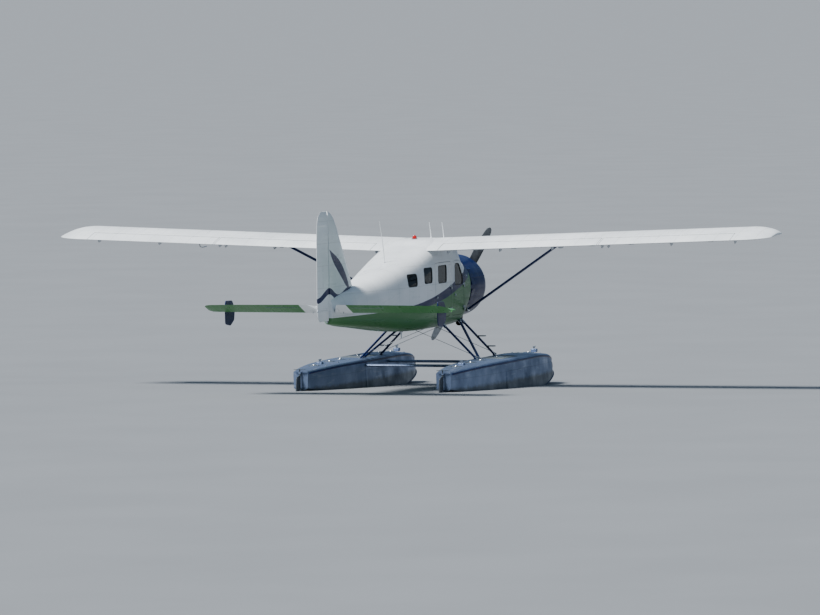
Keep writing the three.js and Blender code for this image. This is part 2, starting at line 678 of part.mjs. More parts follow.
// Rudder rows: [height, trailing station, thickness]
const RUDDER = [
  [RUDDER_FOOT, 9860, 60],
  [2050, 9960, 76],
  [2400, LENGTH, 86],
  [3400, LENGTH, 80],
  [3750, 9950, 70],
  [3930, 9860, 52],
  [FIN_TOP, 9700, 30],
];
const FIN_BACK = RUDDER_HINGE - RUDDER_NOSE_RADIUS - 12;
const RUDDER_NOSE_TOP = 3930;

function addFin() {
  const rings = FIN.map(([z, front, thickness]) => {
    const half = thickness / 2;
    const depth = FIN_BACK - front;
    const outline = [[0, 0], [0.03, 0.45], [0.12, 0.8], [0.35, 1], [0.7, 0.95], [1, 0.85]];
    const side = (sign) => outline.map(([share, wide]) => point(sign * wide * half, front + share * depth, z));
    return [...side(1), ...side(-1).slice(1).reverse()];
  });
  const bracket = (z) => join(
    box([-12, 12], [FIN_BACK - 60, RUDDER_HINGE + 6], [z, z + BRACKET_HEIGHT]),
    rod(point(0, RUDDER_HINGE, z), point(0, RUDDER_HINGE, z + BRACKET_HEIGHT), PIVOT_RADIUS));
  addMesh("fin", join(cut(loft(rings), outsideGrown), ...RUDDER_BRACKETS.map(bracket)), WHITE);

  const blade = RUDDER.map(([z, rear, thickness]) => {
    const half = thickness / 2;
    const depth = rear - RUDDER_HINGE;
    const outline = [[0, 0.95], [0.3, 0.9], [0.7, 0.45], [1, 0.05]];
    const side = (sign) => outline.map(([share, wide]) => point(sign * wide * half, RUDDER_HINGE + share * depth, z));
    return [...side(1), ...side(-1).reverse()];
  });
  const nose = rod(point(0, RUDDER_HINGE, RUDDER_FOOT), point(0, RUDDER_HINGE, RUDDER_NOSE_TOP),
    RUDDER_NOSE_RADIUS, 14);
  const slots = RUDDER_BRACKETS.map((z) =>
    box([-60, 60], [RUDDER_HINGE - 60, RUDDER_HINGE + 30], [z - GAP, z + BRACKET_HEIGHT + GAP]));
  addMesh("rudder", cut(join(loft(blade), nose), ...slots), WHITE);
}

// Floats

// Hull rows: [station, keel z, chine z, half beam at the chine, half deck, deck z]
const HULL = [
  [0, 470, 500, 70, 50, 590],
  [60, 380, 480, 130, 105, 650],
  [220, 240, 440, 225, 190, 715],
  [550, 115, 370, 320, 285, 785],
  [1100, 25, 280, 395, 360, 850],
  [1700, 0, 210, 425, 390, 880],
  [STEP, 0, 170, 430, 395, 885],
  [STEP + 2, 85, 215, 415, 395, 885],
  [5200, 165, 300, 355, 340, 875],
  [6200, 290, 400, 240, 240, 845],
  [FLOAT_STERN, 390, 480, 140, 150, 815],
];
const KEEL_HALF = 26;
const GUNWALE = 60;

function hullRing([s, keel, chine, beam, deck, top], grow) {
  const side = [
    [KEEL_HALF + grow, keel - grow],
    [beam * 0.55, keel + (chine - keel) * 0.62 - grow],
    [beam + grow, chine],
    [(beam * 2 + deck) / 3 + grow, (chine * 2 + top) / 3],
    [deck + grow, top - GUNWALE],
    [deck - 40, top + grow],
    [deck * 0.4, top + 16 + grow],
  ];
  const round = side.map(([x, z]) => point(FLOAT_X + x, s, z));
  const back = side.slice().reverse().map(([x, z]) => point(FLOAT_X - x, s, z));
  return [...round, ...back];
}

const floatBody = (grow = 0) => loft(HULL.map((row) => hullRing(row, grow)));
const CLEAT_STATIONS = [760, 5600];
const CLEAT_HALF = 60;
const CLEAT_TOP = 925;
// The water rudder's blade in side view, [station, z]
const WATER_BLADE = [
  [WATER_RUDDER_HINGE + 22, 735], [7010, 700], [7060, 330], [6990, 250], [WATER_RUDDER_HINGE + 40, 290],
];

const about = (middle, half) => [middle - half, middle + half];

function addFloats() {
  const cleats = CLEAT_STATIONS.map((s) => box(about(FLOAT_X, CLEAT_HALF), about(s, CLEAT_HALF), [780, CLEAT_TOP]));
  const arms = WATER_RUDDER_ARMS.map((z) => join(
    box(about(FLOAT_X, 20), [FLOAT_STERN - 40, WATER_RUDDER_HINGE + 16], [z, z + ARM_HEIGHT]),
    rod(point(FLOAT_X, WATER_RUDDER_HINGE, z), point(FLOAT_X, WATER_RUDDER_HINGE, z + ARM_HEIGHT), 20)));
  addPair("float", join(floatBody(), ...cleats, ...arms), BARE, 0.4, 0.8);

  const [lower, upper] = WATER_RUDDER_ARMS;
  const post = rod(point(FLOAT_X, WATER_RUDDER_HINGE, lower + ARM_HEIGHT + GAP),
    point(FLOAT_X, WATER_RUDDER_HINGE, upper - GAP), 16);
  const blade = sideOutline(WATER_BLADE, about(FLOAT_X, PLATE_HALF), 30);
  const web = box(about(FLOAT_X, PLATE_HALF), [WATER_RUDDER_HINGE, WATER_RUDDER_HINGE + 70], [500, 720]);
  addPair("water_rudder", join(post, web, blade), DARK);
}

// Float struts: name, foot station, then the x, station and z of the top
const FLOAT_STRUTS = [
  ["front_float_strut", FRONT_FRAME, 470, FRONT_FRAME + 30, 1640],
  ["rear_float_strut", REAR_FRAME, 470, REAR_FRAME, 1620],
  ["diagonal_float_strut", REAR_FRAME - 110, 480, FRONT_FRAME + 140, 1640],
];
const STRUT_FOOT_Z = 840;
const SPREADER_BARS = [["front_spreader_bar", FRONT_FRAME - 90], ["rear_spreader_bar", REAR_FRAME + 90]];
const SPREADER_HALF = 1300;
const SPREADER_Z = 760;

// Struts between the floats and the fuselage, and the bars that spread the floats
function addFloatStruts() {
  const grown = floatBody(GAP);
  const seats = [grown, outsideGrown];
  for (const [name, foot, x, s, z] of FLOAT_STRUTS) {
    const bar = strutBar(point(STRUT_FOOT_X, foot, STRUT_FOOT_Z), point(x, s, z), 92, 40);
    addPair(name, cut(bar, ...seats), NAVY);
  }
  const other = solid(geometryFrom(grown).scale(-1, 1, 1));
  for (const [name, s] of SPREADER_BARS) {
    const bar = strutBar(point(-SPREADER_HALF, s, SPREADER_Z), point(SPREADER_HALF, s, SPREADER_Z), 96, 54);
    addMesh(name, cut(bar, grown, other), BARE, 0.4, 0.8);
  }
}

addFuselage();
addCabin();
addCowl();
addEngine();
addPropeller();
addWings();
addTailplane();
addFin();
addFloats();
addFloatStruts();

export default aircraft;
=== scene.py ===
"""A floatplane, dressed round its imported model: smooth skins, cabin, engine, rigging, paint and a pale floor.

Metres. +X is the aircraft's left, +Y its tail, +Z up. Most tables give millimetres, as the model's own sections do.
A station is the distance aft of the float bow tips.
"""
import math

import bmesh
import bpy
import numpy as np
from bpy.props import FloatProperty, FloatVectorProperty, PointerProperty
from mathutils import Matrix, Vector


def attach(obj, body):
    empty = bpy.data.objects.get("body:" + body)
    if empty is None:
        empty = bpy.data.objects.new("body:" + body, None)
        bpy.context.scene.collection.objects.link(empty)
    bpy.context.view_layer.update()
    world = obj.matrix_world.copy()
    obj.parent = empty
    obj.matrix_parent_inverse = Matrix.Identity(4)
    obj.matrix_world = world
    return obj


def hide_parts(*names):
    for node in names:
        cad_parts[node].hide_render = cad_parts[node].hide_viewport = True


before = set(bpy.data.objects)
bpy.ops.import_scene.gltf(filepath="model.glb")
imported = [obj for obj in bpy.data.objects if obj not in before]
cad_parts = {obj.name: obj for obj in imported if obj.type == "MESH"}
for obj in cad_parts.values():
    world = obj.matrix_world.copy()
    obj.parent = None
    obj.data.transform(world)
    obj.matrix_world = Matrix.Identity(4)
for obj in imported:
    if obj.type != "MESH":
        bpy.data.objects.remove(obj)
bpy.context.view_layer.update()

bl_info = {
    "name": "Floatplane",
    "version": (1, 0, 0),
    "blender": (4, 5, 0),
    "location": "3D View > Sidebar > Floatplane",
    "description": "Builds the skins, cabin, engine, rigging and finishes of a high-wing floatplane",
    "category": "Object",
}

MM = 0.001
MIDDLE_STATION = 4990
AIRFRAME = "airframe"
SIDES = {"left": 1, "right": -1}

# Fuselage sections: station, half width, lowest, highest, power of the superellipse
FUSELAGE = np.array([
    [2250, 600, 1640, 2840, 2.3],
    [2480, 612, 1565, 2838, 3],
    [2700, 620, 1525, 2830, 4],
    [3050, 620, 1505, 3180, 4.5],
    [3500, 620, 1500, 3265, 4.5],
    [4000, 620, 1500, 3255, 4.5],
    [4704, 620, 1500, 3110, 4.5],
    [5340, 600, 1510, 2985, 4],
    [6150, 530, 1560, 2830, 3.4],
    [7100, 415, 1640, 2660, 2.8],
    [8100, 280, 1730, 2500, 2.5],
    [8900, 170, 1800, 2400, 2.3],
    [9370, 95, 1860, 2330, 2.2],
])
SCREEN_FOOT, SCREEN_HEAD = 2700, 3050
WALL, FLOOR_DEPTH, CEILING, STERN_PLATE = 40, 70, 3000, 6
FIREWALL, CABIN_FRONT, CABIN_REAR, BULKHEAD, STERNPOST = 2250, 2600, 5340, 6150, 9370
SILL, WALL_TOP, FLOOR_TOP = 1660, 2860, 1650
SCREEN_TOP = 3075
GAP, DOOR_GAP = 0.4, 8
ROUNDING = 70

# Door and window outlines: station and height of each corner
CREW_DOOR = [(2765, 1720), (2765, 2490), (3045, 2810), (3420, 2810), (3420, 1720)]
CREW_WINDOW = [(2835, 2320), (2835, 2475), (3078, 2750), (3360, 2750), (3360, 2320)]
CABIN_DOOR = [(3600, 1720), (3600, 2810), (4600, 2810), (4600, 1720)]
CABIN_WINDOW = [(3880, 2400), (3880, 2750), (4430, 2750), (4430, 2400)]
SIDE_WINDOW = [(4790, 2430), (4790, 2740), (5250, 2740), (5250, 2430)]
AFT_WINDOW = [(5610, 2400), (5610, 2650), (6060, 2650), (6060, 2400)]
HINGE_HEIGHTS = (1850, 2300)
HINGE_X, KNUCKLE = 634, 45


# Shapes: a shape is (points, faces), with faces as a list of index arrays of equal width

def linear(hex_colour):
    """An sRGB hex colour as linear RGBA."""
    channels = [int(hex_colour[i:i + 2], 16) / 255 for i in (0, 2, 4)]
    return (*[c / 12.92 if c <= 0.04045 else ((c + 0.055) / 1.055) ** 2.4 for c in channels], 1.0)


def at(x, station, z):
    """A point given in millimetres, with its station, as metres in the frame."""
    return np.array([x, station - MIDDLE_STATION, z], float) * MM


def points_at(x, station, z):
    """Whole arrays of x, station and height as one array of points in metres."""
    x, station, z = np.broadcast_arrays(x, station, z)
    return np.stack([x, station - MIDDLE_STATION, z], axis=-1).astype(float) * MM


def smooth_rows(table, wanted):
    """Each column of the table as a cubic through its rows with harmonic-mean slopes, so that it never overshoots."""
    table = np.asarray(table, float)
    xs, ys = table[:, 0], table[:, 1:]
    step = np.diff(xs)[:, None]
    slope = np.diff(ys, axis=0) / step
    before, after = slope[:-1], slope[1:]
    same = before * after > 0
    inner = np.where(same, 2 * before * after / np.where(same, before + after, 1), 0)
    slopes = np.vstack([slope[:1], inner, slope[-1:]])
    wanted = np.clip(np.asarray(wanted, float), xs[0], xs[-1])
    k = np.clip(np.searchsorted(xs, wanted, side="right") - 1, 0, len(xs) - 2)
    gap = step[k]
    t = (wanted - xs[k])[..., None] / gap
    return (ys[k] * (2 * t**3 - 3 * t**2 + 1) + ys[k + 1] * (3 * t**2 - 2 * t**3)
            + slopes[k] * gap * (t**3 - 2 * t**2 + t) + slopes[k + 1] * gap * (t**3 - t**2))


def grid_faces(rows, count, wrap=True):
    """Quads between neighbouring rows of a grid whose rows may close on themselves."""
    r = np.arange(rows - 1)[:, None] * count
    k = np.arange(count if wrap else count - 1)[None, :]
    after = (k + 1) % count
    return np.stack([r + k, r + after, r + count + after, r + count + k], axis=-1).reshape(-1, 4)


def loft(rings):
    """Closed rings joined in order, each end closed by a fan round its centre."""
    rings = np.asarray(rings, float)
    rows, count = rings.shape[:2]
    points = np.vstack([rings.reshape(-1, 3), rings[0].mean(0), rings[-1].mean(0)])
    k = np.arange(count)
    after = (k + 1) % count
    last = (rows - 1) * count
    first_fan = np.stack([np.full(count, rows * count), after, k], axis=-1)
    last_fan = np.stack([np.full(count, rows * count + 1), last + k, last + after], axis=-1)
    return points, [grid_faces(rows, count), first_fan, last_fan]


def ring_loft(rings):
    """Closed rings joined in order, the last to the first, as round a torus."""
    rings = np.asarray(rings, float)
    rows, count = rings.shape[:2]
    closed = np.vstack([rings, rings[:1]])
    faces = grid_faces(rows + 1, count) % (rows * count)
    return closed[:-1].reshape(-1, 3), [faces]


def together(*shapes):
    """Several shapes as one, their faces renumbered."""
    points, faces, start = [], [], 0
    for shape_points, shape_faces in shapes:
        points.append(shape_points)
        faces += [f + start for f in shape_faces]
        start += len(shape_points)
    return np.vstack(points), faces


def moved(shape, matrix=None, offset=(0, 0, 0)):
    """The shape turned by a 3 by 3 matrix and then shifted."""
    points, faces = shape
    turned = points if matrix is None else points @ np.asarray(matrix, float).T
    return turned + np.asarray(offset, float), faces


def mirrored(shape):
    """The shape's mirror image across the centreline, its faces turned to point outwards."""
    points, faces = shape
    return points * [-1, 1, 1], [f[:, ::-1] for f in faces]


def on_both_sides(shape):
    """The shape and its mirror image as one."""
    return together(shape, mirrored(shape))


def flipped(shape, side):
    """The shape itself on the left, its mirror image on the right."""
    return shape if side > 0 else mirrored(shape)


def frame_along(axis):
    """A 3 by 3 matrix whose third column is the axis."""
    axis = np.asarray(axis, float) / np.linalg.norm(axis)
    spare = np.array([0, 1, 0]) if abs(axis[1]) < 0.9 else np.array([1, 0, 0])
    side = np.cross(spare, axis)
    side /= np.linalg.norm(side)
    return np.stack([side, np.cross(axis, side), axis], axis=1)


def lathe(profile, centre=(0, 0, 0), axis=(0, 0, 1), segments=32):
    """A profile of radius and height, in millimetres, turned round an axis; it starts and ends on the axis."""
    radius, height = np.asarray(profile, float).T[..., None] * MM
    radius = np.maximum(radius, 1e-5)
    t = np.linspace(0, 2 * np.pi, segments, endpoint=False)
    rings = np.stack([radius * np.cos(t), radius * np.sin(t), height + 0 * t], axis=-1)
    return moved(loft(rings), frame_along(axis), centre)


def lathe_ring(profile, centre=(0, 0, 0), axis=(0, 0, 1), segments=48):
    """A closed profile of radius and height, in millimetres, turned round an axis, as a wheel rim is."""
    radius, height = np.asarray(profile, float).T * MM
    t = np.linspace(0, 2 * np.pi, segments, endpoint=False)[:, None]
    rings = np.stack([radius * np.cos(t), radius * np.sin(t), height + 0 * t], axis=-1)
    return moved(ring_loft(rings[::-1]), frame_along(axis), centre)


def carried(path, tangent, wide, tall, sides, up):
    """Ellipses round each point of a path: wide lies across the path and up, tall along up, both in millimetres."""
    def unit(vectors):
        return vectors / np.linalg.norm(vectors, axis=1)[:, None]
    side = unit(np.cross(unit(tangent), np.asarray(up, float)))
    top = np.cross(side, unit(tangent))
    wide, tall = np.broadcast_to(wide, len(path))[:, None] * MM, np.broadcast_to(tall, len(path))[:, None] * MM
    t = np.linspace(0, 2 * np.pi, sides, endpoint=False)[None, :, None]
    return path[:, None] + np.cos(t) * (side * wide)[:, None] + np.sin(t) * (top * tall)[:, None]


def sweep(path, wide, tall, sides=12, up=(0, 0, 1)):
    """An ellipse carried along an open path. Its half axes may vary along it."""
    return loft(carried(path, np.gradient(path, axis=0), wide, tall, sides, up))


def hoop(path, radius, sides=10, out=(1, 0, 0)):
    """A round bead carried along a closed path; out is a direction that the path never runs along."""
    around = np.roll(path, -1, axis=0) - np.roll(path, 1, axis=0)
    return ring_loft(carried(path, around, radius, radius, sides, out))


def bar(start, end, radius, sides=12):
    """A round bar between two points, its ends chamfered; the radius is in millimetres."""
    start, end = np.asarray(start, float), np.asarray(end, float)
    length = np.linalg.norm(end - start) / MM
    edge = min(radius * 0.25, length * 0.2)
    profile = [(radius - edge, 0), (radius, edge), (radius, length - edge), (radius - edge, length)]
    return lathe(profile, start, end - start, sides)


def upright(x, station, low, high, radius, sides=20):
    """A round bar standing between two heights."""
    return bar(at(x, station, low), at(x, station, high), radius, sides)


def signed_power(value, power):
    """The size of each value raised to a power, with the value's own sign."""
    return np.sign(value) * np.abs(value) ** power


def polyline(corners, count):
    """Points along straight legs between corners, the same number to each leg."""
    share = np.linspace(0, len(corners) - 1, count)
    return np.stack([np.interp(share, range(len(corners)), column) for column in corners.T], axis=-1)


def block(centre, size, power=6.0, around=24, along=12, turn=None):
    """A superellipsoid: sines and cosines of two angles raised to 2 over the power, scaled to half the size in mm."""
    u = np.linspace(0, 2 * np.pi, around, endpoint=False)[None, :]
    v = np.linspace(-np.pi / 2, np.pi / 2, along + 1)[1:-1, None]
    cos_u, sin_u, cos_v, sin_v = [signed_power(f(a), 2 / power) for a in (u, v) for f in (np.cos, np.sin)]
    half = np.asarray(size, float) * MM / 2
    rings = np.stack([half[0] * cos_v * cos_u, half[1] * cos_v * sin_u, half[2] * sin_v + 0 * u], axis=-1)
    return moved(loft(rings), turn, centre)


def rounded(corners, radius, steps=6):
    """A closed outline with each corner replaced by a quadratic curve that starts a radius away from it."""
    corners = np.asarray(corners, float)
    before = np.roll(corners, 1, axis=0) - corners
    after = np.roll(corners, -1, axis=0) - corners
    start = corners + radius * before / np.linalg.norm(before, axis=1)[:, None]
    end = corners + radius * after / np.linalg.norm(after, axis=1)[:, None]
    t = np.linspace(0, 1, steps + 1)[None, :, None]
    curve = (1 - t) ** 2 * start[:, None] + 2 * t * (1 - t) * corners[:, None] + t**2 * end[:, None]
    return curve.reshape(-1, 2)


def inset(corners, distance):
    """The corners of an outline moved inwards, each edge kept parallel: where the shifted edges cross."""
    corners = np.asarray(corners, float)
    centre = corners.mean(0)

    def edge(a, b):
        normal = np.stack([b[:, 1] - a[:, 1], a[:, 0] - b[:, 0]], axis=-1)
        normal /= np.linalg.norm(normal, axis=1)[:, None]
        normal *= np.sign(((centre - a) * normal).sum(1))[:, None]
        return normal, (normal * a).sum(1) + distance
    before, e = edge(np.roll(corners, 1, axis=0), corners)
    after, f = edge(corners, np.roll(corners, -1, axis=0))
    det = before[:, 0] * after[:, 1] - before[:, 1] * after[:, 0]
    return np.stack([(e * after[:, 1] - before[:, 1] * f) / det, (before[:, 0] * f - after[:, 0] * e) / det], axis=-1)


def densified(outline, longest):
    """A closed outline with each edge cut into equal pieces no longer than the given length."""
    outline = np.asarray(outline, float)
    parts = []
    for a, b in zip(outline, np.roll(outline, -1, axis=0)):
        n = max(1, math.ceil(np.linalg.norm(b - a) / longest))
        parts.append(a + (b - a) * (np.arange(n) / n)[:, None])
    return np.vstack(parts)


def slab(outline, low, high, edge=0.0, put=None):
    """An outline given two heights, with chamfered edges; put turns (a, b, height) arrays into points."""
    outline = np.asarray(outline, float)
    centre = outline.mean(0)
    shrink = 1 - edge / max(np.abs(outline - centre).max(), 1e-9)
    levels = [(low, shrink), (low + edge, 1), (high - edge, 1), (high, shrink)] if edge else [(low, 1), (high, 1)]
    put = put or (lambda a, b, height: points_at(height, a, b))
    return loft([put(*(centre + (outline - centre) * s).T, np.full(len(outline), float(z))) for z, s in levels])


def level_slab(outline, low, high, edge=0.0, x=0.0):
    """An outline of stations and distances off x, given two heights."""
    return slab(outline, low, high, edge, put=lambda station, off, z: points_at(x + off, station, z))


def plate(front, rear, half, low, high, edge, x=0.0):
    """A level chamfered plate between two stations."""
    return level_slab([(front, -half), (front, half), (rear, half), (rear, -half)], low, high, edge, x)


# Pieces: Blender objects made from shapes

def new_mesh(name, shape):
    """A shape as a mesh."""
    points, faces = shape
    mesh = bpy.data.meshes.new(name)
    mesh.from_pydata(points.tolist(), [], [row for part in faces for row in np.asarray(part).tolist()])
    return mesh


def in_scene(name, data):
    """A new object in the scene that holds the data."""
    made = bpy.data.objects.new(name, data)
    bpy.context.scene.collection.objects.link(made)
    return made


def vectors_of(items, name):
    """One vector of each vertex or face, as an array."""
    values = np.zeros(len(items) * 3)
    items.foreach_get(name, values)
    return values.reshape(-1, 3)


def piece(name, shape, material, body=AIRFRAME, **settings):
    """Puts a shape into a mesh that rides on a body."""
    mesh = new_mesh(name, shape)
    mesh.validate()
    return settled(in_scene(name, mesh), material, body, **settings)


def pair(name, shape, material, body=AIRFRAME, replaces=(), **settings):
    """The left piece and its mirror image: an asterisk in a name, body or node stands for left, then for right."""
    for side_name, side in SIDES.items():
        full, rides, *nodes = [text.replace("*", side_name) for text in (name, body, *replaces)]
        piece(full, flipped(shape, side), material, rides, replaces=nodes, **settings)


def settled(made, material, body=AIRFRAME, slot=None, sharp=32, replaces=(), inner=None):
    """Turns the faces outwards, keeps an edge where they meet at more than the sharp angle, and names the body.

    inner is a second material, with a function that tells which faces of the mesh wear it.
    """
    mesh = made.data
    face_outwards(mesh)
    mesh.polygons.foreach_set("use_smooth", np.ones(len(mesh.polygons), bool))
    mesh.set_sharp_from_angle(angle=math.radians(sharp))
    mesh.materials.clear()
    mesh.materials.append(MATERIALS[material])
    if inner:
        mesh.materials.append(MATERIALS[inner[0]])
        mesh.polygons.foreach_set("material_index", inner[1](mesh).astype(np.int32))
    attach(made, body)
    if replaces:
        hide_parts(*replaces)
    return made


def face_outwards(mesh):
    """Recalculates the normals of a closed mesh."""
    work = bmesh.new()
    work.from_mesh(mesh)
    bmesh.ops.recalc_face_normals(work, faces=work.faces)
    work.to_mesh(mesh)
    work.free()


def rough_object(shape):
    """A shape as a plain object for cutting and joining, its faces turned outwards."""
    mesh = new_mesh("cutter", shape)
    face_outwards(mesh)
    return in_scene("cutter", mesh)


def carved(shape, *steps):
    """The shape after each step, a pair of an operation (DIFFERENCE, INTERSECT or UNION) and a second shape."""
    made = shape if isinstance(shape, bpy.types.Object) else rough_object(shape)
    cutters = [rough_object(other) for _, other in steps]
    for (operation, _), cutter in zip(steps, cutters):
        modifier = made.modifiers.new(operation.lower(), "BOOLEAN")
        modifier.operation, modifier.object, modifier.solver = operation, cutter, "MANIFOLD"
    result = bpy.data.meshes.new_from_object(made.evaluated_get(bpy.context.evaluated_depsgraph_get()))
    for used in [made, *cutters]:
        mesh = used.data
        bpy.data.objects.remove(used)
        bpy.data.meshes.remove(mesh)
    if not len(result.polygons):
        raise RuntimeError("a cut left nothing")
    return in_scene("carved", result)


def minus(*shapes):
    """Carving steps that take shapes away."""
    return [("DIFFERENCE", shape) for shape in shapes]


def within(shape):
    """A carving step that keeps what lies inside a shape."""
    return [("INTERSECT", shape)]


def carved_piece(name, shape, steps, material, side=1, **settings):
    """A piece left by carving, mirrored to the right where side is below 0."""
    made = carved(shape, *steps)
    made.name = made.data.name = name
    if side < 0:
        points = vectors_of(made.data.vertices, "co") * [-1, 1, 1]
        made.data.vertices.foreach_set("co", points.ravel())
    return settled(made, material, **settings)


def box_shape(x, station, z):
    """A plain box between pairs of x, stations and heights, for cutting only."""
    return slab([(x[0], station[0]), (x[1], station[0]), (x[1], station[1]), (x[0], station[1])], *z, put=points_at)


# Materials

MATERIALS = {}
# Slots of the finishes, by material name
SLOTS = {
    "green_reflection_enamel": "green_paint", "navy_enamel": "navy_paint", "propeller_enamel": "propeller_metal",
    "seat_leather": "seat_leather",
    **dict.fromkeys(("livery_enamel", "white_wing_enamel", "tail_livery_enamel"), "white_paint"),
    **dict.fromkeys(("float_aluminium", "machined_aluminium", "stainless_steel"), "bare_metal"),
    **dict.fromkeys(("cast_aluminium", "finned_steel", "exhaust_steel"), "engine_metal"),
    **dict.fromkeys(("acrylic", "red_lens", "green_lens", "clear_lens"), "window_glass"),
    **dict.fromkeys(("wrinkle_enamel", "dial_face", "trim_vinyl"), "panel_plastic"),
}
# Lap seams and rivets, in millimetres: a seam's width, the rivets' spacing, their row's distance and a head's width
SEAM_WIDTH, RIVET_PITCH, RIVET_ROW, RIVET_WIDTH = 5, 60, 18, 11
# Seams of a skin, in millimetres: axis, spacing, offset, axes that the rivets follow
FUSELAGE_SEAMS = [(1, 470, 90, (2, 0)), (2, 390, 60, (1,))]
WING_SEAMS = [(0, 400, 120, (1,)), (1, 620, -250, (0,))]
TAIL_SEAMS = [(0, 380, 60, (1,)), (2, 420, 40, (1,))]
FLOAT_SEAMS = [(1, 560, 120, (2, 0)), (2, 2000, 660, (1,))]
NAVY_SEAMS = [(1, 2000, 700, (2, 0))]
# Stripes, in metres: distance along (aft of the middle station, or up), the stripe's middle, and its half width
BODY_STRIPE = [(-2.75, 2.66, 0.12), (-2.3, 2.47, 0.115), (-1.7, 2.31, 0.10), (-0.9, 2.16, 0.085), (0.1, 2.05, 0.06),
               (1.1, 2.0, 0.02), (1.5, 1.99, 0.0), (4.4, 1.98, 0.0)]
FIN_SWOOSH = [(2.44, 3.18, 0.0), (2.55, 3.34, 0.09), (2.70, 3.51, 0.15), (2.85, 3.70, 0.19), (3.0, 3.91, 0.2),
              (3.12, 4.09, 0.15), (3.22, 4.26, 0.06), (3.28, 4.36, 0.0)]
FIN_WAVE = [(2.95, 2.47, 0.0), (3.2, 2.48, 0.05), (3.93, 2.35, 0.06), (4.4, 2.49, 0.06), (4.92, 2.33, 0.05),
            (5.0, 2.33, 0.04)]
ROOT_PANEL_HALF = 0.47
# Weathering and tints: dust in the laps, dried salt, grime in float seams, slime low on the hulls, and the smoke
# tint of the windows
DUST, SALT, SEAM_GRIME, SLIME = "959590", "ced4da", "303538", "3c4542"
SMOKE = "65737c"
# Dry hide, and the painted shade in its creases, as linear colours
DRY_HIDE, CREASE_SHADE = (0.035, 0.022, 0.015, 1), (0.02, 0.013, 0.01, 1)
# Bare metals: name, colour, worn colour, roughness, grain and its depth in millimetres, the grain's stretch
METALS = [
    # Machined and drawn aluminium: bright, with a fine turned grain
    ("machined_aluminium", "c3c8cc", "8f979d", 0.3, 4, 0.15, (1, 1, 0.2)),
    # Stainless steel rod and cable: bright, drawn lengthways
    ("stainless_steel", "b9bdc0", "7f8488", 0.25, 5, 0.1, (1, 0.2, 1)),
    # Sand-cast aluminium crankcase: grey, pitted, oily in patches
    ("cast_aluminium", "7c8083", "3d3f40", 0.5, 7, 0.5),
    # Machined steel fins, black-stoved and worn at the tips
    ("finned_steel", "6c6f72", "7b6a5a", 0.45, 6, 0.3),
    # Exhaust steel: straw and brown heat stains
    ("exhaust_steel", "7a6a5c", "3a2f2b", 0.5, 10, 0.4),
]
# Moulded, sprayed and woven finishes: the same up to the grain's depth, and then the weight of a clear coat
PLAIN_FINISHES = [
    # Forged blades under dark grey enamel, rubbed on the nose edge
    ("propeller_enamel", "33383e", "4c5258", 0.35, 8, 0.2, 0.3),
    # Brushed-on dark enamel over the water rudders, scuffed where they ground
    ("dark_enamel", "2b3138", "4b545b", 0.45, 14, 0.2),
    # Black enamel that wrinkles as it is baked
    ("wrinkle_enamel", "24272a", "33373a", 0.7, 3, 0.4),
    # Moulded rubber, dull, bloomed grey in patches
    ("rubber", "1e2022", "3a3d3f", 0.75, 4, 0.3),
    # Vinyl cloth glued to the cabin's inner skin
    ("trim_vinyl", "8b8f8d", "77797a", 0.65, 4, 0.4),
    # Grit in deck paint, 1 mm grains drawn at 6 mm
    ("deck_grit", "5d666b", "474f54", 0.95, 6, 1.2),
    # Ribbed rubber mat over plywood boards
    ("floor_mat", "3c4144", "2c3032", 0.85, 8, 0.8),
    # Satin black lacquer on the dials' metal faces
    ("dial_face", "0c0d0e", "141517", 0.3, 6, 0.05),
    # Cream enamel laid on in thick strokes, a little yellowed
    ("dial_mark", "e6e4da", "d6d3c6", 0.5, 6, 0.05),
]
LENSES = {"red_lens": "c01818", "green_lens": "1f9a4a", "clear_lens": "dfe8ee"}


def add(beside, kind, inputs=None, **settings):
    """Adds one node next to another, with its settings and its linked or set inputs, and returns its first output."""
    tree = beside.id_data
    node = tree.nodes.new(f"ShaderNode{kind}")
    for name, value in settings.items():
        setattr(node, name, value)
    for key, value in (inputs or {}).items():
        named = node.inputs if isinstance(key, int) else {s.name: s for s in reversed(node.inputs) if s.enabled}
        if isinstance(value, bpy.types.NodeSocket):
            tree.links.new(value, named[key])
        else:
            named[key].default_value = value
    return next((s for s in node.outputs if s.enabled), None)


def surface(name, colour, metallic=0.0, roughness=0.4, **sockets):
    """A material with one shader; its uniform values are set on the shader's own sockets."""
    material = MATERIALS[name] = bpy.data.materials.new(name)
    material.use_nodes = True
    shader = material.node_tree.nodes["Principled BSDF"]
    for key, value in {"Base Color": colour, "Metallic": metallic, "Roughness": roughness, **sockets}.items():
        shader.inputs[key].default_value = value
    return shader, add(shader, "TexCoord").node.outputs["Object"]


def speckle(shader, where, size_mm, detail=3.0, stretch=(1, 1, 1)):
    """Noise whose grains are about size_mm across, longer where stretch is below 1."""
    mapped = add(shader, "Mapping", {"Vector": where, "Scale": stretch})
    return add(shader, "TexNoise", {"Vector": mapped, "Scale": 1000 / size_mm, "Detail": detail})


def shaded(shader, colour, other, factor, low=0.35, high=0.65, strength=1.0):
    """Blends the base colour towards another where the factor rises from low to high; returns the blend."""
    share = add(shader, "MapRange", {"Value": factor, "From Min": low, "From Max": high, "To Max": strength})
    mixed = add(shader, "Mix", {"Factor": share, "A": colour, "B": other}, data_type="RGBA")
    shader.id_data.links.new(mixed, shader.inputs["Base Color"])
    return mixed


def painted(shader, mask, colour):
    """Lays one more colour over the surface where the mask is 1."""
    under = shader.inputs["Base Color"].links[0].from_socket
    mixed = add(shader, "Mix", {"Factor": mask, "A": under, "B": colour}, data_type="RGBA")
    shader.id_data.links.new(mixed, shader.inputs["Base Color"])


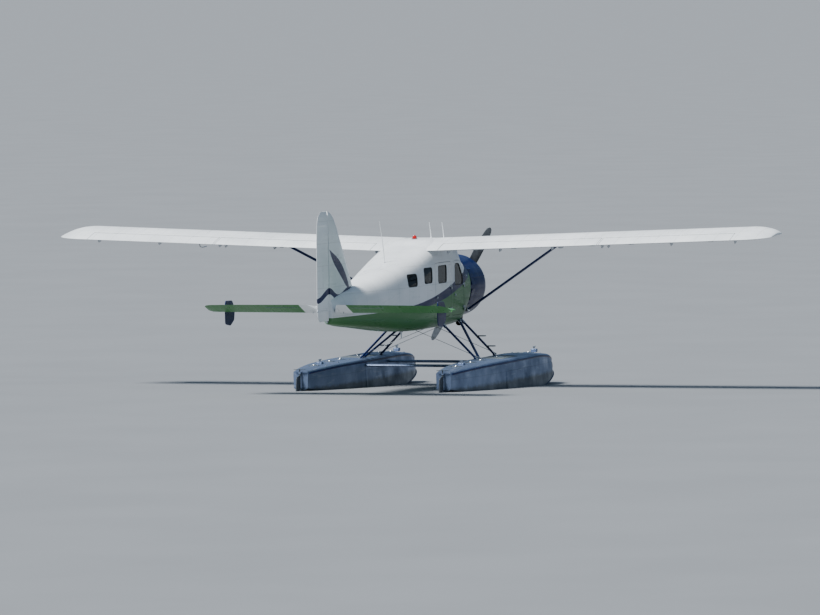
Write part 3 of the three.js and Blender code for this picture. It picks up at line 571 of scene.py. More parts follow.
def uneven_gloss(shader, factor, low, high):
    """Roughness that runs from low to high with the factor."""
    value = add(shader, "MapRange", {"Value": factor, "From Min": 0.3, "From Max": 0.7, "To Min": low, "To Max": high})
    shader.id_data.links.new(value, shader.inputs["Roughness"])


def relief(shader, height, depth_mm, below=None):
    """Bump of a real depth; below is the normal of a coarser relief under it."""
    under = {} if below is None else {"Normal": below}
    bump = add(shader, "Bump", {"Height": height, "Distance": depth_mm * MM, "Strength": 1.0, **under})
    shader.id_data.links.new(bump, shader.inputs["Normal"])
    return bump


def skin_lines(shader, where, pitches):
    """Lap seams and their rivets, as a mask of the seams and a height: rivets stand up and seams lie low.

    The distance to the nearest seam is a triangle wave of the coordinate; rivets stand where a second wave is low too.
    A level seam runs only on skins that face sideways.
    Real rivets are 3 mm heads 25 mm apart: they are drawn 11 mm wide and 60 mm apart, so that they show.
    """
    parts = add(shader, "SeparateXYZ", {"Vector": where}).node
    sideways = add(shader, "SeparateXYZ", {"Vector": where.node.outputs["Normal"]})
    sideways = add(shader, "Math", {0: sideways}, operation="ABSOLUTE")
    sideways = add(shader, "MapRange", {"Value": sideways, "From Min": 0.5, "From Max": 0.6})
    seam = head = None
    for axis, spacing, offset, follow in pitches:
        shifted = add(shader, "Math", {0: parts.outputs[axis], 1: -offset * MM}, operation="ADD")
        across = add(shader, "Math", {0: shifted, 1: spacing / 2 * MM}, operation="PINGPONG")
        run = parts.outputs[follow[0]]
        for other in follow[1:]:
            run = add(shader, "Math", {0: run, 1: parts.outputs[other]}, operation="ADD")
        along = add(shader, "Math", {0: run, 1: RIVET_PITCH / 2 * MM}, operation="PINGPONG")
        from_row = add(shader, "Math", {0: across, 1: -RIVET_ROW * MM}, operation="ADD")
        reach = add(shader, "VectorMath", {0: add(shader, "CombineXYZ", {"X": from_row, "Y": along})},
                    operation="LENGTH").node.outputs["Value"]
        found = [add(shader, "MapRange", {"Value": far, "From Min": near * MM, "From Max": edge * MM, "To Min": 1.0,
                                          "To Max": 0.0})
                 for far, near, edge in ((across, 0, SEAM_WIDTH), (reach, RIVET_WIDTH / 4, RIVET_WIDTH / 2))]
        if axis == 2:
            found = [add(shader, "Math", {0: f, 1: sideways}, operation="MULTIPLY") for f in found]
        if seam:
            found = [add(shader, "Math", {0: f, 1: g}, operation="MAXIMUM") for f, g in zip((seam, head), found)]
        seam, head = found
    return seam, add(shader, "Math", {0: head, 1: seam}, operation="SUBTRACT")


def enamel_surface(name, colour, worn, seams):
    """Two-pack enamel over riveted aluminium: glossy under a clear coat, dusty in the laps, faded in patches."""
    shader, where = surface(name, colour, 0.0, 0.3, **{"Coat Weight": 0.03, "Coat Roughness": 0.15,
                                                       "Specular IOR Level": 0.12})
    mixed = shaded(shader, colour, worn, speckle(shader, where, 900, 4.0), 0.4, 0.75, 0.55)
    streak = speckle(shader, where, 90, 5.0, (1, 0.12, 1))
    mixed = shaded(shader, mixed, linear(DUST), streak, 0.6, 0.85, 0.16)
    seam, height = skin_lines(shader, where, seams)
    shaded(shader, mixed, linear(DUST), seam, 0.0, 1.0, 0.5)
    uneven_gloss(shader, streak, 0.24, 0.42)
    # Rolled sheet between ribs is never quite flat: the broad waves are drawn 0.8 mm deep.
    relief(shader, height, 1.6, relief(shader, speckle(shader, where, 260, 1.0), 0.8))
    return shader, where


def stripe(shader, along, across, reach, rows):
    """A painted stripe's height over its middle line, and a mask that is 1 inside it.

    rows hold distance along, middle and half width, in metres; a float curve node reads each of the last two.
    """
    start, end = rows[0][0], rows[-1][0]
    share = add(shader, "MapRange", {"Value": along, "From Min": start, "From Max": end})
    read = []
    for column, tall in ((1, reach), (2, 1.0)):
        curve = add(shader, "FloatCurve", {"Value": share})
        line = curve.node.mapping.curves[0].points
        places = [((row[0] - start) / (end - start), row[column] / tall) for row in rows]
        line[0].location, line[1].location = places[0], places[-1]
        for place in places[1:-1]:
            line.new(*place)
        curve.node.mapping.update()
        read.append(add(shader, "Math", {0: curve, 1: tall}, operation="MULTIPLY"))
    over = add(shader, "Math", {0: across, 1: read[0]}, operation="SUBTRACT")
    off = add(shader, "Math", {0: over}, operation="ABSOLUTE")
    return over, add(shader, "Math", {0: off, 1: read[1]}, operation="LESS_THAN")


def livery_surface(colours):
    """The fuselage's enamel: white above, green below, the green being painted reflection of the water's light on
    white, and between them a navy stripe that sweeps up to the cowl.
    """
    shader, where = enamel_surface("livery_enamel", colours.white, colours.white_worn, FUSELAGE_SEAMS)
    _, aft, up = add(shader, "SeparateXYZ", {"Vector": where}).node.outputs
    over, navy = stripe(shader, aft, up, 3.0, BODY_STRIPE)
    # Painted reflection: the green below the stripe stands for the turquoise water's light on white enamel, with faded
    # patches.
    worn_green_reflection = add(shader, "Mix", {"Factor": speckle(shader, where, 700), "A": colours.green,
                                     "B": colours.green_worn}, data_type="RGBA")
    painted(shader, add(shader, "Math", {0: over, 1: 0.0}, operation="LESS_THAN"), worn_green_reflection)
    painted(shader, navy, colours.navy)


def tail_livery_surface(colours):
    """The fin's and rudder's white enamel, with a navy swoosh behind the leading edge and a navy wave at its foot."""
    shader, where = enamel_surface("tail_livery_enamel", colours.white, colours.white_worn, TAIL_SEAMS)
    _, aft, up = add(shader, "SeparateXYZ", {"Vector": where}).node.outputs
    for along, across, rows in ((up, aft, FIN_SWOOSH), (aft, up, FIN_WAVE)):
        painted(shader, stripe(shader, along, across, 5.0, rows)[1], colours.navy)


def green_reflection_surface(colours):
    """The tailplane's and elevator's enamel, green as painted reflection of the water's light on white, with the white
    panel over their roots.
    """
    shader, where = enamel_surface("green_reflection_enamel", colours.green, colours.green_worn, TAIL_SEAMS)
    # Painted reflection: green over the tailplane and elevator stands for the water's light on white; the root panel is
    # left white.
    out = add(shader, "Math", {0: add(shader, "SeparateXYZ", {"Vector": where})}, operation="ABSOLUTE")
    painted(shader, add(shader, "Math", {0: out, 1: ROOT_PANEL_HALF}, operation="LESS_THAN"), colours.white)


def float_aluminium_surface(colours):
    """Bare sheet aluminium, its blue-grey a painted reflection of the water: dull, streaked with salt, stained to a
    line above the keel.
    """
    shader, where = surface("float_aluminium", colours.float_metal, 0.75, 0.42)
    # Painted reflection: both base colours are tinted blue for the water seen in the bare metal.
    patches, streak = speckle(shader, where, 420, 6.0), speckle(shader, where, 60, 5.0, (1, 0.1, 1))
    mixed = shaded(shader, colours.float_metal, colours.float_oxide, patches, 0.35, 0.7, 0.8)
    mixed = shaded(shader, mixed, linear(SALT), streak, 0.58, 0.8, 0.35)
    seam, height = skin_lines(shader, where, FLOAT_SEAMS)
    mixed = shaded(shader, mixed, linear(SEAM_GRIME), seam, 0.0, 1.0, 0.55)
    rise = add(shader, "SeparateXYZ", {"Vector": where}).node.outputs[2]
    ragged = add(shader, "Math", {0: speckle(shader, where, 120, 4.0), 1: 0.10, 2: rise}, operation="MULTIPLY_ADD")
    shaded(shader, mixed, linear(SLIME), ragged, 0.56, 0.49, 0.75)
    uneven_gloss(shader, patches, 0.3, 0.6)
    relief(shader, height, 2.0, relief(shader, speckle(shader, where, 200, 2.0), 1.2))


def metal_surface(name, colour, worn, roughness, grain_mm, depth_mm, stretch=(1, 1, 1)):
    """A bare metal with one grain: fine and stretched where it was brushed or drawn, coarse where it was cast."""
    shader, where = surface(name, linear(colour), 1.0, roughness)
    grain = speckle(shader, where, grain_mm, 4.0, stretch)
    shaded(shader, linear(colour), linear(worn), speckle(shader, where, 60, 5.0), 0.4, 0.7, 0.7)
    uneven_gloss(shader, grain, roughness * 0.75, roughness * 1.3)
    relief(shader, grain, depth_mm)


def plain_surface(name, colour, worn, roughness, grain_mm, depth_mm, coat=0.0):
    """A moulded, sprayed or woven surface: two tones in patches, and a fine grain of its own depth."""
    shader, where = surface(name, linear(colour), 0.0, roughness, **{"Coat Weight": coat})
    shaded(shader, linear(colour), linear(worn), speckle(shader, where, 45, 5.0), 0.4, 0.7, 0.7)
    grain = speckle(shader, where, grain_mm, 2.0)
    uneven_gloss(shader, grain, roughness * 0.8, min(1.0, roughness * 1.2))
    relief(shader, grain, depth_mm)


def leather_surface(colours):
    """Tanned hide: cell-shaped pebbles 3 mm across drawn at 5 mm, painted shade in the creases, duller where it is dry.
    """
    shader, where = surface("seat_leather", colours.leather, 0.0, 0.5)
    cells = add(shader, "TexVoronoi", {"Vector": where, "Scale": 1000 / 5, "Randomness": 1.0})
    mixed = shaded(shader, colours.leather, DRY_HIDE, speckle(shader, where, 130, 5.0), 0.4, 0.75, 0.6)
    # Painted shade: the cell edges, the creases between the pebbles, are darkened.
    shaded(shader, mixed, CREASE_SHADE, cells, 0.35, 0.7, 0.5)
    uneven_gloss(shader, speckle(shader, where, 40), 0.4, 0.62)
    relief(shader, cells, -0.5)


def acrylic_surface():
    """Blown acrylic, smoked and bloomed against glare: clear, with a low index, a dark tint and hairline scratches."""
    shader, where = surface("acrylic", linear(SMOKE), 0.0, 0.03, **{"Transmission Weight": 1.0, "IOR": 1.2})
    uneven_gloss(shader, speckle(shader, where, 12, 6.0, (1, 0.15, 1)), 0.02, 0.07)


def lens_surface(name, colour):
    """Moulded acrylic lens, coloured through: a faint ribbing 6 mm apart that catches the light."""
    shader, where = surface(name, linear(colour), 0.0, 0.08, **{"Transmission Weight": 0.5, "IOR": 1.49})
    relief(shader, add(shader, "TexWave", {"Vector": where, "Scale": 1000 / 6 / 20, "Distortion": 0.0}), 0.4)


def make_materials(colours):
    """Every finish of the aircraft, each named for the real one."""
    livery_surface(colours)
    enamel_surface("white_wing_enamel", colours.white, colours.white_worn, WING_SEAMS)
    tail_livery_surface(colours)
    green_reflection_surface(colours)
    enamel_surface("navy_enamel", colours.navy, colours.navy_worn, NAVY_SEAMS)
    float_aluminium_surface(colours)
    for row in METALS:
        metal_surface(*row)
    for row in PLAIN_FINISHES:
        plain_surface(*row)
    leather_surface(colours)
    acrylic_surface()
    for name, colour in LENSES.items():
        lens_surface(name, colour)


# Fuselage skins

# Points of a ring; a distance off the middle that clears the skin; the panes' depths; the windshield's opening
RING_POINTS, BEYOND, BOARDS_HALF = 96, 900, 445
PANE_OUT, PANE_IN = -12, -20
PANE_X, PANE_START, PANE_END = 545, 2745, 3035


def section(stations, grow=0.0):
    """Fuselage rings: superellipses whose size and power follow the smooth rows, resampled evenly by arc length."""
    stations = np.atleast_1d(np.asarray(stations, float))
    half, low, high, power = smooth_rows(FUSELAGE, stations).T[..., None]
    slope = (stations >= SCREEN_FOOT) & (stations <= SCREEN_HEAD)
    high = np.where(slope, screen_top(stations), high[:, 0])[:, None]
    half, low, high = half + grow, low - grow, high + grow
    t = np.linspace(0, 2 * np.pi, 721)[None, :]
    x = half * signed_power(np.cos(t), 2 / power)
    z = (low + high) / 2 + (high - low) / 2 * signed_power(np.sin(t), 2 / power)
    length = np.concatenate([np.zeros((len(x), 1)), np.cumsum(np.hypot(np.diff(x), np.diff(z)), axis=1)], axis=1)
    even = np.linspace(0, 1, RING_POINTS, endpoint=False)
    x, z = [np.stack([np.interp(even * run[-1], run, row) for run, row in zip(length, rows)]) for rows in (x, z)]
    return points_at(x, stations[:, None], z)


def screen_top(station):
    """The windshield's height over a station: straight between the table's rows."""
    return np.interp(station, FUSELAGE[:, 0], FUSELAGE[:, 3])


def skin_x(station, z, grow=0.0):
    """The left skin's x at a station and height: the superellipse solved for its width."""
    half, low, high, power = smooth_rows(FUSELAGE, station).T
    share = np.clip(np.abs(z - (low + high) / 2) / ((high - low) / 2 + grow), 0, 0.999)
    return (half + grow) * (1 - share**power) ** (1 / power)


def stations_between(start, end, step=60):
    """Even stations that also meet the table's rows at the windshield."""
    even = np.linspace(start, end, max(2, round((end - start) / step) + 1))
    kept = [s for s in (SCREEN_FOOT, SCREEN_HEAD) if start < s < end]
    return np.unique(np.concatenate([even[[min(abs(e - s) for s in kept + [-9e9]) > 12 for e in even]], kept]))


def hull_shape(start, end, grow=0.0):
    """The fuselage between two stations, its skin moved out by grow."""
    return loft(section(stations_between(start, end), grow))


def inside_shape():
    """The hull's inner skin: the section less the wall, with a deeper cabin floor, up to a plate at the sternpost."""
    stations = stations_between(CABIN_FRONT, STERNPOST - STERN_PLATE)
    rings = section(stations, -WALL)
    floor = (rings[..., 2].min(1) / MM + np.where(stations < BULKHEAD, FLOOR_DEPTH - WALL, 0))[:, None] * MM
    rings[..., 2] = np.clip(rings[..., 2], floor, CEILING * MM)
    return loft(rings)


def opening(corners):
    """A rounded side-view outline swept across the left skin, for cutting."""
    return slab(densified(rounded(corners, ROUNDING), 60), 300, BEYOND)


def inner_faces(mesh):
    """Faces whose middle lies well under the outer skin, and so are the cabin's lining."""
    x, y, z = vectors_of(mesh.polygons, "center").T / MM
    half, low, high, power = smooth_rows(FUSELAGE, y + MIDDLE_STATION).T
    half, tall = half - WALL * 0.7, (high - low) / 2 - WALL * 0.7
    level = np.abs(x / half) ** power + np.abs((z - (low + high) / 2) / tall) ** power
    return (level < 1) & (y + MIDDLE_STATION < STERNPOST - STERN_PLATE / 2)


def wall_skin(name, steps, **settings):
    """A part of the cabin's hollow shell, lined with vinyl."""
    return carved_piece(name, hull_shape(CABIN_FRONT, CABIN_REAR - GAP), minus(inside_shape()) + steps,
                        "livery_enamel", inner=("trim_vinyl", inner_faces), **{"replaces": (name,), **settings})


def screen_region(grow=0.0):
    """Everything above the slanted line from the cowl deck up to the roof's front."""
    foot, head = (CABIN_FRONT - 20, 2358 - grow), (3030 + grow / 2, WALL_TOP - grow)
    return slab([foot, head, (SCREEN_TOP + grow, WALL_TOP - grow), (SCREEN_TOP + grow, 3500), (foot[0], 3500)],
                -BEYOND, BEYOND)


def on_skin(corners, grow=0.0, side=1):
    """A rounded outline laid on the fuselage side as a closed path of points."""
    station, z = densified(rounded(corners, ROUNDING), 40).T
    return points_at(side * skin_x(station, z, grow), station, z)


def pane(name, corners, body=AIRFRAME):
    """Curved acrylic 8 mm thick between two depths under the skin, with a rubber bead round it on both faces."""
    front, rear = min(c[0] for c in corners), max(c[0] for c in corners)
    sheet, under = hull_shape(front - 90, rear + 90, PANE_OUT), hull_shape(front - 120, rear + 120, PANE_IN)
    for side_name, side in SIDES.items():
        full, rides = f"{name}_{side_name}", body.replace("*", side_name)
        carved_piece(full, sheet, minus(under) + within(flipped(opening(inset(corners, GAP)), side)), "acrylic",
                     body=rides, replaces=(full,))
        seal = together(*[hoop(on_skin(inset(corners, 3), depth, side), 9) for depth in (-7, -WALL)])
        piece(f"{full}_seal", seal, "rubber", rides, slot="panel_plastic")


def hinge_leaves(corners, owner):
    """Stacked barrels on the hinge line, the door's above the frame's, each with its leaf and three screws."""
    station = corners[0][0] + DOOR_GAP / 2
    made = []
    for z in HINGE_HEIGHTS:
        low = z + GAP if owner == "door" else z - KNUCKLE
        ahead = 1 if owner == "door" else -1
        made.append(upright(HINGE_X, station, low, low + KNUCKLE, 11))
        leaf = np.array([(0, 0), (ahead * 62, 4), (ahead * 66, KNUCKLE / 2), (ahead * 62, KNUCKLE - 4), (0, KNUCKLE)])
        made.append(slab(leaf + [station, low], 612, 626, 2))
        made += [bar(at(622, station + ahead * s, low + h), at(629, station + ahead * s, low + h), 5, 8)
                 for s, h in ((26, 12), (26, 33), (50, 22))]
    return together(*made)


def handle(station, z):
    """A door handle: a round boss with a lever that tapers aft."""
    x = float(skin_x(np.array([station]), np.array([z]))[0])
    boss = lathe([(0, -4), (26, -4), (26, 5), (20, 10), (0, 10)], at(x, station, z), (1, 0, 0), 20)
    path = points_at(np.array([x + 8, x + 20, x + 22, x + 20]), station + np.array([0, 18, 60, 118]),
                     z + np.array([0, 0, -2, -4]))
    return together(boss, sweep(path, (9, 9, 8, 5), (6, 6, 5, 4), 10))


def build_fuselage():
    """The hollow shell, cut along the lines where its real parts meet, with doors, glass, boards and fittings."""
    piece("nose_skin", loft(section(np.linspace(FIREWALL, CABIN_FRONT - GAP, 9))), "livery_enamel",
          replaces=("nose_section",))
    across, all_along = (-BEYOND, BEYOND), (0, 9999)
    wall_skin("cabin_floor_skin", within(box_shape(across, all_along, (1000, SILL - GAP))), replaces=("cabin_floor",))
    boards = [plate(front, rear, BOARDS_HALF, 1600, top, 4)
              for front, rear, top in ((CABIN_FRONT + 10, CABIN_REAR - 10, SEAT_FLOOR), (3562, 4298, FLOOR_TOP))]
    piece("cabin_floor_boards", together(*boards), "floor_mat", slot="panel_plastic")
    wall_skin("cabin_roof", within(box_shape(across, (SCREEN_TOP + 2 * GAP, 9999), (WALL_TOP, 3600))))
    for side_name, side in SIDES.items():
        wall = box_shape((0, BEYOND) if side > 0 else (-BEYOND, 0), all_along, (SILL, WALL_TOP - GAP))
        holes = [flipped(opening(corners), side) for corners in (CREW_DOOR, CABIN_DOOR, SIDE_WINDOW)]
        wall_skin(f"cabin_wall_{side_name}", within(wall) + minus(screen_region(GAP), *holes))
        for name, door, window, reach in (("crew_door", CREW_DOOR, CREW_WINDOW, 560),
                                          ("cabin_door", CABIN_DOOR, CABIN_WINDOW, 880)):
            full = f"{name}_{side_name}"
            wall_skin(full, within(flipped(opening(inset(door, DOOR_GAP)), side))
                      + minus(flipped(opening(window), side)), body=full)
            furniture = together(hinge_leaves(door, "door"), handle(door[0][0] + reach, 2130))
            piece(f"{full}_fittings", flipped(furniture, side), "machined_aluminium", full)
            piece(f"{full}_hinge_leaves", flipped(hinge_leaves(door, "frame"), side), "machined_aluminium")
            bead = hoop(on_skin(inset(door, -4), -12, side), 7)
            piece(f"{full}_frame_seal", bead, "rubber", slot="panel_plastic")
    pane("crew_door_glass", CREW_WINDOW, "crew_door_*")
    pane("cabin_door_glass", CABIN_WINDOW, "cabin_door_*")
    pane("side_window", SIDE_WINDOW)
    pane("aft_window", AFT_WINDOW)
    build_windshield()
    build_rear_fuselage()


def build_windshield():
    """The slanted screen: its frame, two panes' worth of acrylic and a centre post with side beads."""
    def hole(gap):
        return box_shape((-PANE_X + gap, PANE_X - gap), (PANE_START + gap, PANE_END - gap), (2500, 3600))
    wall_skin("windshield_frame", within(screen_region()) + minus(hole(0)))
    carved_piece("windshield_glass", hull_shape(2640, 3120, PANE_OUT),
                 minus(hull_shape(2620, 3140, PANE_IN)) + within(hole(GAP)), "acrylic", replaces=("windshield",))
    stations = np.linspace(PANE_START - 20, PANE_END + 16, 12)
    beads = [sweep(points_at(0, stations, screen_top(stations) - 6), 17, 9, 10)]
    across = np.linspace(-PANE_X, PANE_X, 41)
    for station in (PANE_START + 4, PANE_END - 4):
        half, low, _, power = smooth_rows(FUSELAGE, station)
        high = screen_top(station)
        z = (low + high) / 2 + (high - low) / 2 * (1 - np.abs(across / half) ** power) ** (1 / power)
        beads.append(sweep(points_at(across, station, z - 5), 8, 8, 8))
    piece("windshield_post", together(*beads), "rubber", slot="panel_plastic")


def build_rear_fuselage():
    """The tapering shell behind the cabin, with its aft windows cut, closed aft, and the rudder's lower lug."""
    tube = bar(at(-400, ELEVATOR_HINGE, TAIL_Z), at(400, ELEVATOR_HINGE, TAIL_Z), 24, 24)
    windows = [flipped(opening(AFT_WINDOW), side) for side in SIDES.values()]
    carved_piece("rear_fuselage_skin", hull_shape(CABIN_REAR, STERNPOST), minus(inside_shape(), *windows, tube),
                 "livery_enamel", inner=("trim_vinyl", inner_faces), replaces=("rear_fuselage",))
    lug = together(plate(STERNPOST - 30, RUDDER_HINGE + 30, 22, 1885, 1911, 3),
                   upright(0, RUDDER_HINGE, 1895, 1924.6, 14))
    piece("rudder_lower_lug", lug, "machined_aluminium")
    shade = section([BULKHEAD, BULKHEAD + 4], -WALL - 3 * GAP)
    piece("bulkhead_lining", loft(shade), "trim_vinyl", slot="bare_metal", replaces=("rear_bulkhead",))


# Wings: the section's chord and place at the root, its shares of thickness and camber, and spans of what is on it

CHORD, WING_FRONT, WING_NOSE_Z = 1587, 3117, 3110
THICKNESS, CAMBER = 0.16, 0.025
DIHEDRAL, INCIDENCE = math.radians(2), math.radians(2.5)
WING_END = 7315 / math.cos(DIHEDRAL) - 1.5
TIP_LENGTH = 520
HINGE_AFT, HINGE_HEIGHT, NOSE_RADIUS, COVE_GAP = 0.74 * CHORD, 27, 66, 12
FLAP_SPAN, AILERON_SPAN = (700, 3920), (3970, 6600)
STRUT_SPAN, STRUT_AFT = 2885.0, 500.0


def half_thickness(x):
    """The four-digit law: half the thickness at shares of the chord, for a section as thick as its chord is long."""
    return 5 * (0.2969 * np.sqrt(x) - 0.126 * x - 0.3516 * x**2 + 0.2843 * x**3 - 0.1036 * x**4)


def aerofoil(steps=40):
    """Shares of the chord, closer at the nose, with a parabolic camber line and half the thickness there."""
    x = (1 + np.cos(np.pi * np.arange(steps + 1) / steps)) / 2
    line = np.where(x < 0.4, CAMBER / 0.16 * (0.8 * x - x * x), CAMBER / 0.36 * (0.2 + 0.8 * x - x * x))
    return x, line, half_thickness(x) * THICKNESS


def round_section(upper_x, upper_y, lower_y):
    """Both faces of thin sections as closed rows: the upper one forwards, the lower one back, sharing both ends."""
    return (np.concatenate([upper_x, upper_x[:, -2:0:-1]], axis=1),
            np.concatenate([upper_y, lower_y[:, -2:0:-1]], axis=1))


def wing_points(span, aft, height):
    """Places arrays of span, distance aft of the nose and height: turned by the incidence, then by the dihedral."""
    back = aft * math.cos(INCIDENCE) + height * math.sin(INCIDENCE)
    up = height * math.cos(INCIDENCE) - aft * math.sin(INCIDENCE)
    return points_at(span * math.cos(DIHEDRAL) - up * math.sin(DIHEDRAL), WING_FRONT + back,
                     WING_NOSE_Z + span * math.sin(DIHEDRAL) + up * math.cos(DIHEDRAL))


def wing_shape(spans, beads=0.0, pitch=190.0):
    """Aerofoil rings at the given spans. Over the rounded tip the chord and thickness shrink as a quarter circle does.

    Beads are stiffening ridges: a rounded wave along the span, strongest between the spar and the trailing edge.
    """
    spans = np.asarray(spans, float)
    along = np.clip((spans - (WING_END - TIP_LENGTH)) / TIP_LENGTH, 0, 1)
    full = np.sqrt(1 - along**2)[:, None]
    share = 0.45 + 0.55 * full
    x, line, half = aerofoil()
    thick = half * (0.12 + 0.88 * full)
    wave = beads * np.maximum(np.cos(2 * np.pi * spans[:, None] / pitch), 0) ** 4 * np.clip((0.97 - x) / 0.1, 0, 1)
    aft, height = round_section(x * CHORD * share + CHORD * (1 - share) * 0.42,
                                (line + thick) * CHORD * share + wave, (line - thick) * CHORD * share - wave)
    return loft(wing_points(spans[:, None], aft, height))


def tip_spans(start):
    """Spans from a start out to the tip, closer together where the tip turns over."""
    turn = np.sin(np.linspace(0, np.pi / 2, 26))
    return np.concatenate([np.linspace(start, WING_END - TIP_LENGTH, 30)[:-1], WING_END - TIP_LENGTH * (1 - turn)])


def hinge_bar(span, radius):
    """A plain cylinder along the flap and aileron hinge line between two spans."""
    ends = wing_points(np.array(span, float), HINGE_AFT, HINGE_HEIGHT)
    run = ends[1] - ends[0]
    return lathe([(radius, 0), (radius, np.linalg.norm(run) / MM)], ends[0], run)


def behind_hinge(span):
    """Everything behind the hinge line between two spans, for cutting."""
    corners = [(HINGE_AFT, -300), (CHORD + 200, -300), (CHORD + 200, 300), (HINGE_AFT, 300)]
    return loft([np.stack([wing_points(s, a, h) for a, h in corners]) for s in span])


def trailing_surface(name, span):
    """A flap or aileron: the wing's own skin behind the hinge with a round nose, beaded along its span."""
    root, tip = span
    ends = [wing_points(np.array(reach, float), HINGE_AFT, HINGE_HEIGHT)
            for reach in ((root - COVE_GAP + GAP, root + 5), (tip - 5, tip + COVE_GAP - GAP))]
    for side_name, side in SIDES.items():
        skin = wing_shape(np.linspace(root - 40, tip + 40, round((tip - root) / 16)),
                          bpy.context.scene.floatplane_fittings.rib_bead / MM)
        nose = carved(hinge_bar(span, NOSE_RADIUS), *within(wing_shape(np.linspace(root - 60, tip + 60, 6))))
        body = f"{name}_{side_name}"
        carved_piece(f"{name}_skin_{side_name}", carved(skin, *within(behind_hinge(span))),
                     [("UNION", shape_of(nose))], "white_wing_enamel", side, body=body, replaces=(body,))
    pair(f"{name}_pins_*", together(*[bar(a, b, 9, 16) for a, b in ends]), "stainless_steel", f"{name}_*")


def shape_of(made):
    """An object's mesh as a shape, and the object removed."""
    mesh = made.data
    points, faces = vectors_of(mesh.vertices, "co"), [np.array([list(p.vertices)]) for p in mesh.polygons]
    bpy.data.objects.remove(made)
    bpy.data.meshes.remove(mesh)
    return points, faces


def build_wings():
    """Each wing cut for its flap and aileron, its strut cut at both ends, and the lights and pitot tube."""
    cuts = minus(hull_shape(2900, 5400, GAP))
    for root, tip in (FLAP_SPAN, AILERON_SPAN):
        bay = (root - COVE_GAP, tip + COVE_GAP)
        cuts += minus(behind_hinge(bay), hinge_bar(bay, NOSE_RADIUS + COVE_GAP))
    strut = strut_bar(at(600, 2500, 1790), wing_points(STRUT_SPAN, STRUT_AFT, -20.0), 120, 48)
    ends = minus(hull_shape(2300, 2900, GAP), wing_shape([2500, 3300]))
    lens = block(wing_points(6905.0, 560.0, 92.0), (70, 120, 34), 2.4)
    for side_name, side in SIDES.items():
        carved_piece(f"wing_skin_{side_name}", wing_shape(tip_spans(300)), cuts, "white_wing_enamel", side,
                     replaces=(f"wing_{side_name}",))
        piece(f"tip_light_{side_name}", flipped(lens, side), "red_lens" if side > 0 else "green_lens")
        carved_piece(f"wing_strut_skin_{side_name}", strut, ends, "navy_enamel", side,
                     replaces=(f"wing_strut_{side_name}",))
    pair("wing_fittings_*", wing_fittings(), "machined_aluminium")
    trailing_surface("flap", FLAP_SPAN)
    trailing_surface("aileron", AILERON_SPAN)
    aft, height = np.array([(330, -60), (300, -130), (250, -190), (150, -215), (20, -218), (-120, -218.0)]).T
    piece("pitot_tube", sweep(wing_points(4700.0, aft, height), 10, 10), "stainless_steel")
    piece("landing_light", block(wing_points(3450.0, 12.0, 8.0), (190, 60, 104), 2.6, 32, 16), "clear_lens")


def wing_fittings():
    """Fuel caps, hinge brackets under the wing, the strut's fork and foot, and inspection covers in a row."""
    cap, cover = [(0, -20), (44, -20), (44, 3), (36, 8), (0, 9)], [(0, 8), (58, 8), (58, -2), (52, -4), (0, -5)]
    arm = np.array([(-250, -92), (-250, -50), (-96, -40), (-90, -78), (-126, -112)]) + [HINGE_AFT, 0]
    caps = [lathe(cap, wing_points(span, 520.0, 152.0), segments=28) for span in (880.0, 1500.0, 5900.0)]
    arms = [slab(arm, span - 7, span + 7, 2, put=lambda aft, height, out: wing_points(out, aft, height))
            for span in (740, 1800, 2860, 3880, 4010, 5280, 6560)]
    covers = [lathe(cover, wing_points(float(span), 430.0, -104.0), (0.03, 0, 1), 28)
              for span in range(1100, 6700, 800)]
    fork, foot = wing_points(STRUT_SPAN, STRUT_AFT, -96.0), at(622, 2506, 1800)
    return together(*caps, *arms, *covers, block(fork, (86, 150, 60), 3.5, 28, 14),
                    block(foot, (50, 150, 84), 3.5, 28, 14))


def strut_bar(start, end, chord, thickness, sides=40):
    """A streamlined bar: an ellipse with its long axis along the flight, blunter ahead than behind."""
    axis = (end - start) / np.linalg.norm(end - start)
    aft = np.array([0, 1, 0]) - axis[1] * axis
    aft /= np.linalg.norm(aft)
    side = np.cross(axis, aft)
    t = np.linspace(0, 2 * np.pi, sides, endpoint=False)
    along, across = np.cos(t) * chord / 2, np.sin(t) * thickness / 2 * (1 - 0.22 * np.cos(t))
    ring = (along[:, None] * aft + across[:, None] * side) * MM
    share = np.linspace(0, 1, 13)[:, None, None]
    return loft(start + share * (end - start) + ring)


# Tail

TAIL_Z, ELEVATOR_HINGE, ELEVATOR_REST = 2120, 9255, math.radians(16)
# Tailplane: span, leading and trailing edge's stations, thickness
TAILPLANE = np.array([[40, 8470, 9730, 120], [1700, 8680, 9700, 100], [2200, 8745, 9675, 84],
                      [2340, 8800, 9640, 66], [2415, 8960, 9530, 30]])
# Fin and rudder: height, station of the leading or trailing edge, thickness
FIN = np.array([[2250, 7750, 120], [2560, 7950, 110], [3500, 8690, 90], [3800, 8960, 76], [3940, 9160, 56],
                [4000, 9330, 30]])
RUDDER = np.array([[1925, 9860, 60], [2050, 9960, 76], [2400, 9980, 86], [3400, 9980, 80], [3750, 9950, 70],
                   [3930, 9860, 52], [4000, 9700, 30]])
RUDDER_HINGE, RUDDER_FOOT, RUDDER_NOSE = 9420, 1925, 38
RUDDER_LUGS, LUG_THICK = (3300, 2700), 20
FINLET = [(8690, 1900), (8650, 2120), (8800, 2280), (9170, 2290), (9190, 2120), (9170, 1840), (8900, 1800)]
FINLET_X = 2120


def tailplane_shape(beads=0.0):
    """Thin symmetric sections from the root to the rounded tip; beads ridge the part behind the hinge."""
    spans = np.concatenate([np.linspace(40, 2200, 110), np.linspace(2200, 2415, 22)[1:]])
    nose, tail, thick = smooth_rows(TAILPLANE, spans).T[..., None]
    x, _, _ = aerofoil(30)
    station = nose + x * (tail - nose)
    behind = np.clip((station - ELEVATOR_HINGE - 60) / 60, 0, 1) * np.clip((0.985 - x) / 0.06, 0, 1)
    wave = beads * np.maximum(np.cos(2 * np.pi * spans[:, None] / 140), 0) ** 4 * behind
    height = half_thickness(x) * thick + wave
    station, height = round_section(station, height, -height)
    return loft(points_at(spans[:, None], station, TAIL_Z + height))


